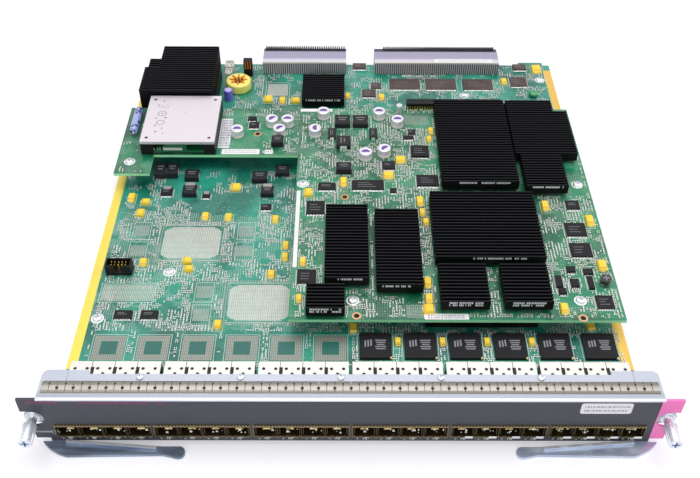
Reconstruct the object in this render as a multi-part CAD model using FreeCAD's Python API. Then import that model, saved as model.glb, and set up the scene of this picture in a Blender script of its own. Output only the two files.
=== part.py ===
import FreeCAD, Part
import math
import os

# A switch line card: a painted front panel on a carrier rail, a long main board with ganged
# transceiver cages, a raised daughter board full of finned heat sinks, backplane connectors at
# the rear, two ejector levers and two spring-loaded captive screws.
#
# All sizes are in mm. While the card is drawn, X runs across it, Y runs back from the panel's
# front face and Z rises from the panel's bottom edge. save() then moves every piece to the
# part's own frame, whose origin is the bottom centre of the card's bounding box.

os.makedirs("parts", exist_ok=True)
Vector = FreeCAD.Vector

# ------------------------------------------------------------------ driving dimensions
# Front panel
panel_width = 388.6
panel_height = 40.6
panel_thickness = 1.6
ear_step_height = 2.7        # the ears end this far above the bottom edge
ear_step_inset = 12.8        # from the panel's end to the step in its bottom edge
lower_ear_inset = 4.3        # the ears below the notch are narrower than above it
status_hole_radius = 1.2
status_hole_inset = 17.0     # from the panel's end to the status light
status_hole_z = 8.5

# Carrier rail behind the panel
rail_inset = 11.3            # from the panel's end to the rail's end
rail_sheet = 1.2
rail_top_depth = 19.0
rail_end_depth = 22.0        # the top flange is deeper at both ends
rail_end_length = 28.0
rail_corner = 4.0
rail_bottom_depth = 19.0
rail_bottom_gap = 0.2        # the bottom flange clears the panel's bottom edge by this
rail_pocket_depth = 0.4      # joggle between the end plate and the long flange
rail_pocket_length = 13.0
rail_ear_radius = 5.2
rail_ear_overlap = 7.0       # how far the screw's ear is carried into the rail
rail_screw_count = 5
rail_screw_offset = -6.0     # from the middle of the gap between two cages
rail_screw_y = 16.5
rail_screw_head_radius = 2.5
rail_screw_head_height = 1.8
rail_screw_radius = 1.25
rail_screw_length = 3.0

# Contact finger strip on the rail
strip_front = 4.8
strip_rear = 13.8
strip_rise = 1.3
strip_sheet = 0.35
strip_pitch = 19.0
strip_slit = 0.5
strip_bridge = 1.6           # what each slit leaves standing at its closed end
strip_slope = 2.2            # length of the strip's front and rear slopes
strip_end_margin = 2.0

# Transceiver cages
cage_count = 6
ports_per_cage = 4
port_pitch = 14.25
cage_gap = 2.35
cage_height = 9.7
cage_front = -0.8
cage_rear = 48.7
cage_wall = 0.5
cage_slot_width = 1.9
cage_slot_length = 6.0
cage_slot_rear_inset = 6.5
collar_front = -0.4
collar_side = 0.45
collar_top = 0.8
collar_bottom = 1.1
window_clearance = 0.15
socket_width = 12.2
socket_depth = 9.5
socket_height = 5.8

# Main board
board_side_gap = 0.1         # inside the rail's ends
board_top = 5.7
board_thickness = 2.4
board_front = 5.0
board_rear = 402.5
board_nose_inset = 4.9       # narrower stretch between the rail's flanges
board_nose_rear = 48.0
board_tab_x = (155.0, 177.0)
board_tab_reach = 4.5
spacer_radius = 3.0
spacer_x = (-150.0, -60.0, 60.0, 150.0)
spacer_y = 13.0

# Daughter board
daughter_left_inset = 0.9    # from the main board's side edges
daughter_right_inset = 1.4
daughter_rise = 12.9         # clear height between the two boards
daughter_thickness = 2.4
daughter_front = 79.0
daughter_rear = 313.0
daughter_arm_front = 250.5
daughter_body_left = -41.0
daughter_lobe_right = -154.5
daughter_lobe_front = 227.5

# Heat sinks
fin_pitch = 3.0
fin_thickness = 1.0
sink_base = 1.8
sink_height = 10.4           # top of the fins above the board
chip_height = 2.4            # the package under each sink
chip_inset = 3.0

# Backplane connectors
wafer_reach = 14.5           # how far the wafers stand on the board
wafer_overhang = 3.5
shell_depth = 6.4
connector_top = 17.4
overhang_gap = 0.3
overhang_bottom = 3.0
shell_drop = 1.0
connector_bottom = 0.6
tooth_length = 5.6
tooth_pitch = 4.0
tooth_width = 2.0
tooth_drop = 2.0
tooth_height = 12.0

# Ejector levers, drawn on the left side and mirrored for the right
lever_pivot_inset = 18.3     # from the panel's end to the pivot, along X
lever_pivot_y = 6.0
lever_plate = 2.0
lever_gap = 0.2              # under the panel's bottom edge
lever_boss_radius = 5.4
lever_rib_height = 2.0
lever_rib_width = 1.8
lever_bore_clearance = 0.05
lever_pin_radius = 2.0
lever_pin_head_radius = 3.3
lever_pin_head_height = 0.8
lever_head_clearance = 0.3

# Captive screws
screw_inset = 5.55           # from the panel's end to the screw's axis
screw_z = 21.85
notch_radius = 7.15
screw_radius = 2.0
screw_tip = 10.5
screw_tip_chamfer = 0.6
knob_front = -17.6
knob_rear = -4.2
knob_radius = 4.3
knob_floor = -10.0
knob_rim = 0.9
knob_recess_depth = 1.6
knob_recess_width = 1.1
knob_recess_length = 5.0
ferrule_flange_radius = 4.6
ferrule_flange = 0.8
ferrule_front = -3.5
ferrule_barrel_radius = 3.1
ferrule_tail_radius = 2.9
slip_gap = 0.3               # between curved faces that pass each other
clip_radius = 3.6
clip_thickness = 0.6
clip_gap = 0.3
clip_groove_depth = 0.4
clip_groove_play = 0.1
clip_bore_clearance = 0.06
spring_wire = 0.5
spring_turns = 4.0
spring_steps = 8             # straight lengths in each turn
spring_end_gap = 0.1

# Small round parts that repeat are drawn with flat sides
head_sides = 8
core_sides = 6
can_sides = 12
knob_sides = 18
choke_sides = 20
sleeve_sides = 16
hole_clearance = 0.1

# ------------------------------------------------------------------ sizes worked out
rail_width = panel_width - 2 * rail_inset
board_width = rail_width - 2 * board_side_gap
board_nose_width = board_width - 2 * board_nose_inset
left_edge = -board_width / 2
right_edge = board_width / 2
daughter_left_edge = left_edge + daughter_left_inset
daughter_right_edge = right_edge - daughter_right_inset
connector_front = board_rear - wafer_reach
wafer_rear = board_rear + wafer_overhang
shell_rear = wafer_rear + shell_depth
tooth_rear = shell_rear + tooth_length
cage_width = ports_per_cage * port_pitch
cage_pitch = cage_width + cage_gap
cage_top = board_top + cage_height
window_low = board_top - collar_bottom - window_clearance
window_high = cage_top + collar_top + window_clearance
window_width = cage_width + 2 * (collar_side + window_clearance)
board_bottom = board_top - board_thickness
rail_back = panel_thickness + rail_sheet
rail_underside = panel_height - rail_sheet
daughter_bottom = board_top + daughter_rise
daughter_top = daughter_bottom + daughter_thickness
screw_x = panel_width / 2 - screw_inset
lever_pivot_x = panel_width / 2 - lever_pivot_inset
lever_top = -lever_gap
lever_bottom = lever_top - lever_plate
frame_shift = Vector(0, -(knob_front + tooth_rear) / 2, -lever_bottom)


# ------------------------------------------------------------------ small helpers
def box(x0, x1, y0, y1, z0, z1):
    return Part.makeBox(x1 - x0, y1 - y0, z1 - z0, Vector(x0, y0, z0))


def block(x, y, width, depth, z, height):
    """A box centred on (x, y) that stands on the height z."""
    return box(x - width / 2, x + width / 2, y - depth / 2, y + depth / 2, z, z + height)


def post(x, y, radius, z, height):
    return Part.makeCylinder(radius, height, Vector(x, y, z))


def rod(x, z, radius, y0, y1):
    """A round bar along Y."""
    return Part.makeCylinder(radius, y1 - y0, Vector(x, y0, z), Vector(0, 1, 0))


def plate(points, z, height):
    """A flat plate with a straight-sided outline."""
    corners = [Vector(px, py, z) for px, py in points]
    face = Part.Face(Part.makePolygon(corners + corners[:1]))
    return face.extrude(Vector(0, 0, height))


def prism(x, y, radius, sides, z, height):
    """An upright bar with flat sides whose corners lie on the radius."""
    turns = [2 * math.pi * (k + 0.5) / sides for k in range(sides)]
    return plate([(x + radius * math.cos(a), y + radius * math.sin(a)) for a in turns], z, height)


def ring(centre, radius, sides, along_y):
    """Corner points of a flat-sided ring about an axis along Y, or else along Z."""
    points = []
    for k in range(sides):
        angle = 2 * math.pi * k / sides
        u = radius * math.cos(angle)
        v = radius * math.sin(angle)
        points.append(centre + (Vector(-u, 0, v) if along_y else Vector(u, v, 0)))
    return points


def faceted(rings):
    """A solid with flat sides between rings of corner points, closed at both ends."""
    count = len(rings[0])
    faces = [Part.Face(Part.makePolygon(end + end[:1])) for end in (rings[0], rings[-1])]
    for low, high in zip(rings, rings[1:]):
        for k in range(count):
            n = (k + 1) % count
            faces.append(Part.Face(Part.makePolygon([low[k], low[n], high[n], high[k], low[k]])))
    solid = Part.Solid(Part.Shell(faces))
    if solid.Volume < 0:
        solid.reverse()
    return solid


def sleeve(x, z, sides, profile):
    """A flat-sided piece about the Y axis through (x, z): profile holds (y, radius) pairs."""
    return faceted([ring(Vector(x, y, z), radius, sides, True) for y, radius in profile])


def turned(x, z, profile):
    """A turned piece about the Y axis through (x, z): profile holds (y, radius) pairs."""
    corners = [Vector(x + radius, y, z) for y, radius in profile]
    face = Part.Face(Part.makePolygon(corners + corners[:1]))
    return face.revolve(Vector(x, 0, z), Vector(0, 1, 0), 360)


def fastener(x, y, seat, head_radius, head_height, radius, reach):
    """A small screw: a round head drawn with flat sides on a six-sided core."""
    return joined([prism(x, y, head_radius, head_sides, seat, head_height),
                   prism(x, y, radius, core_sides, seat - reach, reach)])


def fastener_hole(x, y, radius, z, thickness):
    return prism(x, y, radius + hole_clearance, core_sides, z - 1, thickness + 2)


def joined(shapes):
    """Pieces that touch or overlap, made into one clean solid."""
    return shapes[0].fuse(shapes[1:]).removeSplitter()


def mirrored(shape):
    return shape.mirror(Vector(0, 0, 0), Vector(1, 0, 0))


def save(name, shapes):
    """Write one node, moved to the part's own frame."""
    if not isinstance(shapes, (list, tuple)):
        shapes = [shapes]
    solids = [solid for shape in shapes for solid in shape.Solids]
    node = Part.makeCompound(solids) if len(solids) > 1 else solids[0]
    node = node.copy()
    node.translate(frame_shift)
    node.exportStep("parts/" + name + ".step")
    valid = all(solid.isValid() for solid in solids)
    print("%-24s %3d solids, valid: %s" % (name, len(solids), valid))


# ------------------------------------------------------------------ front panel and rail
def cage_centres():
    return [(i - (cage_count - 1) / 2) * cage_pitch for i in range(cage_count)]


def port_centres(cage_x):
    return [cage_x + (p - (ports_per_cage - 1) / 2) * port_pitch for p in range(ports_per_cage)]


def windows(y0, y1):
    """One opening for each ganged cage."""
    half = window_width / 2
    return [box(x - half, x + half, y0, y1, window_low, window_high) for x in cage_centres()]


def front_panel():
    half = panel_width / 2
    back = panel_thickness
    panel = box(-half, half, 0, back, 0, panel_height)
    cuts = windows(-1, back + 1)
    cuts.append(box(-rail_width / 2, rail_width / 2, -1, back + 1, rail_underside, panel_height + 1))
    cuts.append(rod(-half + status_hole_inset, status_hole_z, status_hole_radius, -1, back + 1))
    for side in (-1, 1):
        ear = [
            rod(screw_x, screw_z, notch_radius, -1, back + 1),
            box(screw_x, half + 1, -1, back + 1, screw_z - notch_radius, screw_z + notch_radius),
            box(half - lower_ear_inset, half + 1, -1, back + 1, -1, screw_z),
            box(half - ear_step_inset, half + 1, -1, back + 1, -1, ear_step_height),
        ]
        cuts += ear if side > 0 else [mirrored(shape) for shape in ear]
    return panel.cut(cuts)


def rail_screw_places():
    gaps = [(i - (rail_screw_count - 1) / 2) * cage_pitch for i in range(rail_screw_count)]
    return [x + rail_screw_offset for x in gaps]


def rail_end(side):
    """The deeper end of the top flange, with its rounded rear corner and its joggle."""
    half = rail_width / 2
    end = box(half - rail_end_length, half, 0, rail_end_depth, rail_underside, panel_height)
    corner = [e for e in end.Edges if e.BoundBox.ZLength > rail_sheet / 2
              and e.BoundBox.XMin > half - 0.1 and e.BoundBox.YMin > rail_end_depth - 0.1]
    end = end.makeFillet(rail_corner, corner)
    joggle_x = half - rail_end_length
    joggle = box(joggle_x, joggle_x + rail_pocket_length, strip_rear, rail_end_depth + 1,
                 panel_height - rail_pocket_depth, panel_height + 1)
    end = end.cut(joggle)
    return end if side > 0 else mirrored(end)


def carrier_rail():
    half = rail_width / 2
    low = rail_bottom_gap
    web = box(-half, half, panel_thickness, rail_back, low, rail_underside)
    top = box(-half + rail_end_length, half - rail_end_length, 0, rail_top_depth,
              rail_underside, panel_height)
    bottom = box(-half, half, panel_thickness, rail_bottom_depth, low, low + rail_sheet)
    pieces = [web, top, bottom, rail_end(-1), rail_end(1)]
    for side in (-1, 1):
        ear = box(half - rail_ear_overlap, screw_x, panel_thickness, rail_back,
                  screw_z - rail_ear_radius, screw_z + rail_ear_radius)
        ear = joined([ear, sleeve(screw_x, screw_z, sleeve_sides, [(panel_thickness, rail_ear_radius),
                                                                   (rail_back, rail_ear_radius)])])
        pieces.append(ear if side > 0 else mirrored(ear))
    for x in spacer_x:
        spacer_height = board_bottom - low - rail_sheet
        pieces.append(prism(x, spacer_y, spacer_radius, 6, low + rail_sheet, spacer_height))
    cuts = windows(0, rail_back + 1)
    for side in (-1, 1):
        cuts.append(sleeve(side * screw_x, screw_z, sleeve_sides,
                           [(0, ferrule_tail_radius), (rail_back + 1, ferrule_tail_radius)]))
        cuts.append(post(side * lever_pivot_x, lever_pivot_y, lever_pin_radius, low - 1, rail_sheet + 2))
    for x in rail_screw_places():
        cuts.append(fastener_hole(x, rail_screw_y, rail_screw_radius, rail_underside, rail_sheet))
    return joined(pieces).cut(cuts)


def rail_screws():
    return [fastener(x, rail_screw_y, panel_height, rail_screw_head_radius, rail_screw_head_height,
                     rail_screw_radius, rail_screw_length)
            for x in rail_screw_places()]


def finger_strip():
    """A springy arch of sheet, cut from alternate sides so that it bends like a row of fingers."""
    low = panel_height
    high = low + strip_rise
    arch = [(strip_front, low), (strip_front + strip_slope, high),
            (strip_rear - strip_slope, high), (strip_rear, low)]
    lining = [(strip_rear - 2 * strip_sheet, low),
              (strip_rear - strip_slope - strip_sheet / 2, high - strip_sheet),
              (strip_front + strip_slope + strip_sheet / 2, high - strip_sheet),
              (strip_front + 2 * strip_sheet, low)]
    half = rail_width / 2 - strip_end_margin
    corners = [Vector(-half, y, z) for y, z in arch + lining]
    strip = Part.Face(Part.makePolygon(corners + corners[:1])).extrude(Vector(2 * half, 0, 0))
    slits = []
    count = int(half / strip_pitch)
    for k in range(-count, count + 1):
        x = k * strip_pitch
        slits.append(box(x - strip_slit / 2, x + strip_slit / 2, strip_front + strip_bridge,
                         strip_rear + 1, low - 1, high + 1))
        x += strip_pitch / 2
        if x < half - strip_slit:
            slits.append(box(x - strip_slit / 2, x + strip_slit / 2, strip_front - 1,
                             strip_rear - strip_bridge, low - 1, high + 1))
    return strip.cut(slits)


# ------------------------------------------------------------------ transceiver cages
def cage(x):
    """A folded sheet cage for a row of ports, open at the front."""
    half = cage_width / 2
    shell = box(x - half, x + half, cage_front, cage_rear, board_top, cage_top)
    port_half = (port_pitch - cage_wall) / 2
    cuts = []
    for port_x in port_centres(x):
        cuts.append(box(port_x - port_half, port_x + port_half, cage_front - 1, cage_rear - cage_wall,
                        board_top + cage_wall, cage_top - cage_wall))
    slot_rear = cage_rear - cage_slot_rear_inset
    for p in range(1, ports_per_cage):
        slot_x = x - half + p * port_pitch
        cuts.append(block(slot_x, slot_rear - cage_slot_length / 2, cage_slot_width, cage_slot_length,
                          cage_top - 2 * cage_wall, 3 * cage_wall))
    return shell.cut(cuts)


def cage_collar(x):
    """The springy collar that seals a cage to the panel's window."""
    half = cage_width / 2
    outer = box(x - half - collar_side, x + half + collar_side, collar_front, rail_back,
                board_top - collar_bottom, cage_top + collar_top)
    return outer.cut(box(x - half, x + half, collar_front - 1, rail_back + 1, board_top, cage_top))


def port_sockets():
    rear = cage_rear - cage_wall
    return [block(port_x, rear - socket_depth / 2, socket_width, socket_depth,
                  board_top + cage_wall, socket_height)
            for x in cage_centres() for port_x in port_centres(x)]


# ------------------------------------------------------------------ boards
board_screw_places = [
    (-128.5, 137.0), (left_edge + 11.9, 93.0), (right_edge - 11.9, 379.0), (101.0, 355.0),
]
standoff_places = [
    (left_edge + 10.9, 242.0), (-36.0, 216.0), (1.5, 96.0), (154.0, 96.5), (right_edge - 9.9, 216.0),
]
plated_holes = [(-4.0, 201.0), (4.0, 82.5), (153.0, 81.0), (-74.5, 278.0)]
board_screw_radius = 1.5
board_screw_head_radius = 3.6
board_screw_head_height = 2.0
standoff_radius = 3.5
standoff_bore_depth = 6.0
screw_engagement = 5.0
plated_hole_radius = 1.5


def main_board():
    nose = board_nose_width / 2
    half = board_width / 2
    tab_left, tab_right = board_tab_x
    tab_rear = board_rear + board_tab_reach
    outline = [(-nose, board_front), (nose, board_front), (nose, board_nose_rear), (half, board_nose_rear),
               (half, board_rear), (tab_right, board_rear), (tab_right, tab_rear),
               (tab_left, tab_rear), (tab_left, board_rear), (-half, board_rear),
               (-half, board_nose_rear), (-nose, board_nose_rear)]
    board = plate(outline, board_bottom, board_thickness)
    return board.cut([fastener_hole(x, y, board_screw_radius, board_bottom, board_thickness)
                      for x, y in board_screw_places])


def daughter_board():
    outline = [(daughter_left_edge, daughter_lobe_front), (daughter_lobe_right, daughter_lobe_front),
               (daughter_lobe_right, daughter_arm_front), (daughter_body_left, daughter_arm_front),
               (daughter_body_left, daughter_front), (daughter_right_edge, daughter_front),
               (daughter_right_edge, daughter_rear), (daughter_left_edge, daughter_rear)]
    board = plate(outline, daughter_bottom, daughter_thickness)
    cuts = [fastener_hole(x, y, board_screw_radius, daughter_bottom, daughter_thickness)
            for x, y in standoff_places]
    cuts += [prism(x, y, plated_hole_radius, head_sides, daughter_bottom - 1, daughter_thickness + 2)
             for x, y in plated_holes]
    return board.cut(cuts)


def pan_screw(x, y, seat, reach):
    return fastener(x, y, seat, board_screw_head_radius, board_screw_head_height,
                    board_screw_radius, reach)


def main_board_screws():
    return [pan_screw(x, y, board_top, board_thickness) for x, y in board_screw_places]


def daughter_board_screws():
    reach = daughter_thickness + screw_engagement
    return [pan_screw(x, y, daughter_top, reach) for x, y in standoff_places]


def standoffs():
    pillars = []
    for x, y in standoff_places:
        pillar = prism(x, y, standoff_radius, 6, board_top, daughter_rise)
        bore = prism(x, y, board_screw_radius, core_sides, daughter_bottom - standoff_bore_depth,
                     standoff_bore_depth + 1)
        pillars.append(pillar.cut(bore))
    return pillars


# ------------------------------------------------------------------ heat sinks
def finned_sink(x0, x1, y0, y1, z0, z1):
    """A base plate with thin upright fins that run along X, drawn as a comb and extruded."""
    count = int(round((y1 - y0 - fin_thickness) / fin_pitch))
    step = (y1 - y0 - fin_thickness) / count
    floor = z0 + sink_base
    comb = [(y0, z0), (y1, z0)]
    for i in range(count, 0, -1):
        y = y0 + i * step
        comb += [(y + fin_thickness, z1), (y, z1), (y, floor), (y - step + fin_thickness, floor)]
    comb += [(y0 + fin_thickness, z1), (y0, z1)]
    corners = [Vector(x0, y, z) for y, z in comb]
    return Part.Face(Part.makePolygon(corners + corners[:1])).extrude(Vector(x1 - x0, 0, 0))


def sink_on_chip(x0, x1, y0, y1, board_z):
    return finned_sink(x0, x1, y0, y1, board_z + chip_height, board_z + sink_height)


def chip_under(x0, x1, y0, y1, board_z):
    return box(x0 + chip_inset, x1 - chip_inset, y0 + chip_inset, y1 - chip_inset,
               board_z, board_z + chip_height)


# Plan of each sink on the daughter board: left, right, front, rear
daughter_sinks = {
    "sink_corner": (-29.4, -4.0, 80.0, 102.1),
    "sink_left": (-17.7, 12.6, 107.5, 181.3),
    "sink_centre": (17.5, 48.8, 101.2, 176.4),
    "sink_front_middle": (59.5, 91.8, 86.0, 121.0),
    "sink_front_right": (101.5, 133.3, 86.0, 121.0),
    "sink_wide": (58.5, 134.8, 127.6, 196.0),
    "sink_tall": (69.3, 126.9, 207.7, 311.3),
}
stepped_sink_x = (128.3, 131.8, 163.1, 166.1, 176.8)
stepped_sink_y = (203.0, 241.9, 297.6, 311.3)


def stepped_sink():
    """The right-hand sink: narrow in front, wide in the middle, with a cut rear corner."""
    left, front_left, front_right, rear_right, right = stepped_sink_x
    front, widening, corner, rear = stepped_sink_y
    whole = sink_on_chip(left, right, front, rear, daughter_top)
    low = daughter_top - 1
    high = daughter_top + sink_height + 1
    return whole.cut([box(left - 1, front_left, front - 1, widening, low, high),
                      box(front_right, right + 1, front - 1, widening, low, high),
                      box(rear_right, right + 1, corner, rear + 1, low, high)])


def stepped_sink_chips():
    left, front_left, front_right, rear_right, right = stepped_sink_x
    front, widening, corner, rear = stepped_sink_y
    return [chip_under(front_left, front_right, front, widening, daughter_top),
            chip_under(left, rear_right, widening, corner, daughter_top)]


def sink_packages():
    """The chip under each finned sink."""
    packages = [chip_under(*plan, daughter_top) for plan in daughter_sinks.values()]
    packages += stepped_sink_chips()
    return packages + [chip_under(*hub_sink_plan, board_top), chip_under(*under_sink_plan, board_top)]


hub_sink_plan = (-41.2, -4.6, 334.3, 371.4)
under_sink_plan = (50.0, 125.0, 84.0, 150.0)
under_sink_top = 16.4
rear_sink_plan = (-174.2, -114.4, 315.0, 381.0)
rear_sink_top = 38.0
rear_sink_low = 31.0
rear_sink_step = (-162.3, 350.0, 372.0)
rear_module_height = 12.7


def rear_sink():
    """The tallest sink, on the power module at the rear, with its left rear corner cut down."""
    left, right, front, rear = rear_sink_plan
    step_x, step_front, step_rear = rear_sink_step
    whole = finned_sink(left, right, front, rear, board_top + rear_module_height, rear_sink_top)
    return whole.cut([box(left - 1, step_x, step_front, rear + 1, rear_sink_low, rear_sink_top + 1),
                      box(left - 1, step_x, step_rear, rear + 1, board_top, rear_sink_top + 1)])


def rear_module():
    left, right, front, rear = rear_sink_plan
    step_x, step_front, step_rear = rear_sink_step
    module = box(left, right, front, rear, board_top, board_top + rear_module_height)
    return module.cut(box(left - 1, step_x, step_rear, rear + 1, board_top - 1, rear_sink_top))


# ------------------------------------------------------------------ backplane connectors
left_connector_x = (-78.0, -3.0)
right_connector_x = (22.5, 134.5)
left_teeth_x = (-76.5, -5.0)
right_teeth_x = (30.5, 131.0)


def connector_wafers(span):
    """The stack of contact wafers that stands on the board and overhangs its rear edge."""
    left, right = span
    stack = box(left, right, connector_front, wafer_rear, board_top, connector_top)
    overhang = box(left, right, board_rear + overhang_gap, wafer_rear, overhang_bottom, board_top)
    return joined([stack, overhang])


def connector_shell(span, teeth):
    """The mating half behind the board, ending in a comb of guide teeth."""
    left, right = span
    top = connector_top - shell_drop
    pieces = [box(left, right, wafer_rear, shell_rear, connector_bottom, top)]
    count = int((teeth[1] - teeth[0]) / tooth_pitch)
    for i in range(count + 1):
        x = teeth[0] + i * tooth_pitch
        pieces.append(box(x, x + tooth_width, shell_rear, tooth_rear, top - tooth_drop - tooth_height,
                          top - tooth_drop))
    return joined(pieces)


# ------------------------------------------------------------------ parts on the main board
# Each entry of a plan is (x, y, width, depth, height): the part's centre, size and height.
phy_count = 6
phy_first = (16.5, 68.5)
phy_pitch = 29.5
phy_size = (21.0, 21.0, 2.2)
memory_count = 3
memory_first = (49.0, 370.0)
memory_pitch = 32.6
memory_size = (26.5, 16.0, 1.4)
main_chip_plan = [
    (-154.0, 95.5, 12.0, 7.0, 1.8), (-136.2, 95.5, 11.5, 7.0, 1.8), (17.0, 355.0, 12.0, 10.0, 2.2),
    (23.5, 367.0, 9.0, 9.0, 1.6), (9.0, board_rear - 5.0, 12.0, 8.0, 2.4), (151.0, 374.0, 15.0, 14.0, 1.6),
    (155.0, board_rear - 5.5, 12.0, 8.0, 2.2), (-142.0, 222.0, 9.0, 8.0, 2.2), (-111.0, 218.0, 6.0, 5.0, 1.8),
    (-64.0, 205.0, 8.0, 6.0, 1.8),
]
main_inductor_plan = [
    (-124.0, 222.0, 11.0, 10.0, 5.0), (-124.5, 241.0, 11.0, 10.0, 5.0), (-71.0, 239.0, 12.0, 10.0, 5.0),
    (-64.0, 222.0, 10.0, 9.0, 4.5),
]
tantalum_height = 3.0
main_tantalum_plan = [
    (-168.0, 215.0, 5.0, 10.0), (-156.5, 210.5, 7.0, 5.0), (-158.5, 198.0, 6.5, 6.5),
    (-109.0, 194.0, 5.0, 8.0), (-91.5, 193.0, 5.0, 8.0), (-148.0, 145.0, 5.0, 8.0),
    (-117.0, 147.0, 7.0, 5.0), (-115.0, 139.0, 7.0, 5.0), (-89.0, 228.0, 8.5, 7.0),
    (-89.0, 86.5, 5.0, 8.0), (-56.0, 191.0, 5.0, 8.0), (-47.0, 163.0, 4.5, 8.0),
    (-47.0, 151.0, 4.5, 8.0), (-56.0, 133.5, 5.0, 8.0), (-71.0, 346.0, 8.0, 8.0),
    (-58.5, 344.0, 5.0, 9.0), (-47.0, 344.0, 9.0, 6.0), (-1.7, 351.0, 4.0, 8.0),
    (28.0, 349.0, 5.0, 9.0), (138.0, 374.0, 5.0, 9.0), (170.0, board_rear - 8.5, 8.0, 13.0),
    (2.0, 84.0, 5.0, 8.0), (161.5, 86.5, 5.0, 8.0),
]
phy_tantalum_size = (4.0, 7.0)
phy_tantalum_y = 72.0
phy_tantalum_count = 4

header_front = 133.5
header_x = (left_edge + 10.4, left_edge + 28.5)
header_depth = 8.5
header_height = 9.0
header_wall = 1.0
header_floor = 2.0
header_pins = 5
header_pitch = 2.54
header_pin = 0.64
header_pin_top = 8.0

choke_place = (-98.0, 364.5)
choke_radius = 11.2
choke_hole = 4.2
choke_height = 9.0
choke_bevel = 2.2
winding_count = 6
winding_wire = 1.6
winding_gap = 0.2
winding_reach = 3.0
winding_lift = 1.0
bulk_place = (-105.4, 347.6)
bulk_radius = 3.9
bulk_height = 10.0
rear_block_place = (-91.0, board_rear - 16.5, 7.6, 6.0, 15.6)
rear_block_slots = 3
rear_block_slot = (1.0, 1.0, 9.0)
white_part_plan = [
    (-108.6, board_rear - 8.5, 8.0, 9.0, 7.0), (-108.4, board_rear - 19.5, 6.0, 7.0, 6.0),
]
disc_place = (162.0, 355.0)
disc_radius = 4.2
disc_height = 4.0

stack_connector_x = (47.5, 126.5)
stack_connector_gap = 0.3    # behind the daughter board's rear edge
stack_connector_depth = 7.0
stack_connector_rise = 5.0   # above the daughter board's top
stack_connector_pitch = 3.0
stack_connector_groove = 1.4
stack_connector_relief = 1.0


def blocks(plan, z):
    return [block(x, y, width, depth, z, height) for x, y, width, depth, height in plan]


def phy_chips():
    """The row of port controllers behind the cages."""
    x, y = phy_first
    width, depth, height = phy_size
    return [block(x + i * phy_pitch, y, width, depth, board_top, height) for i in range(phy_count)]


def memory_chips():
    x, y = memory_first
    width, depth, height = memory_size
    return [block(x + i * memory_pitch, y, width, depth, board_top, height) for i in range(memory_count)]


def main_tantalums():
    """Tantalum capacitors: a chosen few, and one in each gap between two port controllers."""
    width, depth = phy_tantalum_size
    plan = list(main_tantalum_plan)
    for i in range(phy_tantalum_count):
        plan.append((phy_first[0] + (i + 0.5) * phy_pitch, phy_tantalum_y, width, depth))
    return [block(x, y, w, d, board_top, tantalum_height) for x, y, w, d in plan]


def bulk_capacitor():
    return prism(bulk_place[0], bulk_place[1], bulk_radius, can_sides, board_top, bulk_height)


def disc_capacitor():
    return prism(disc_place[0], disc_place[1], disc_radius, can_sides, board_top, disc_height)


def header_shroud():
    left, right = header_x
    rear = header_front + header_depth
    shell = box(left, right, header_front, rear, board_top, board_top + header_height)
    shell = shell.cut(box(left + header_wall, right - header_wall, header_front + header_wall,
                          rear - header_wall, board_top + header_floor, board_top + header_height + 1))
    middle = (left + right) / 2
    key = header_pitch
    return shell.cut(box(middle - key, middle + key, header_front - 1, header_front + header_wall + 0.1,
                         board_top + header_floor, board_top + header_height + 1))


def header_contacts():
    middle = sum(header_x) / 2
    row_y = header_front + header_depth / 2
    pins = []
    for column in range(header_pins):
        x = middle + (column - (header_pins - 1) / 2) * header_pitch
        for row in (-0.5, 0.5):
            pins.append(block(x, row_y + row * header_pitch, header_pin, header_pin,
                              board_top + header_floor, header_pin_top - header_floor))
    return pins


def choke_core():
    """A coated ring core lying flat, bevelled on its outer edges and drawn with flat sides."""
    x, y = choke_place
    low = board_top
    high = board_top + choke_height
    inner = choke_radius - choke_bevel
    profile = ((low, inner), (low + choke_bevel, choke_radius), (high - choke_bevel, choke_radius),
               (high, inner))
    core = faceted([ring(Vector(x, y, z), radius, choke_sides, False) for z, radius in profile])
    return core.cut(prism(x, y, choke_hole, choke_sides, low - 1, choke_height + 2))


def choke_winding():
    """Turns of thick wire, seen where they cross the top of the core and drop into its hole."""
    x, y = choke_place
    top = board_top + choke_height
    outer = choke_hole - winding_gap
    inner = outer - winding_wire
    half = winding_wire / 2
    turns = []
    for k in range(winding_count):
        bar = box(inner, choke_hole + winding_reach, -half, half, top, top + winding_lift)
        drop = box(inner, outer, -half, half, board_top, top + winding_lift)
        turn = joined([bar, drop])
        turn.rotate(Vector(0, 0, 0), Vector(0, 0, 1), k * 360 / winding_count)
        turn.translate(Vector(x, y, 0))
        turns.append(turn)
    return turns


def rear_block():
    x, y, width, depth, height = rear_block_place
    slot_width, slot_depth, slot_height = rear_block_slot
    body = block(x, y, width, depth, board_top, height)
    pitch = width / rear_block_slots
    cuts = []
    for i in range(rear_block_slots):
        slot_x = x + (i - (rear_block_slots - 1) / 2) * pitch
        cuts.append(block(slot_x, y - depth / 2, slot_width, 2 * slot_depth,
                          board_top + height - slot_height, slot_height + 1))
    return body.cut(cuts)


def stack_connector():
    """The long board-to-board connector behind the daughter board, ribbed on its front face."""
    left, right = stack_connector_x
    front = daughter_rear + stack_connector_gap
    top = daughter_top + stack_connector_rise
    body = box(left, right, front, front + stack_connector_depth, board_top, top)
    count = int((right - left - stack_connector_groove) / stack_connector_pitch)
    cuts = []
    for i in range(count):
        x = left + stack_connector_groove + i * stack_connector_pitch
        cuts.append(box(x, x + stack_connector_groove, front - 1, front + stack_connector_relief,
                        daughter_top, top - stack_connector_relief))
    return body.cut(cuts)


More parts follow.
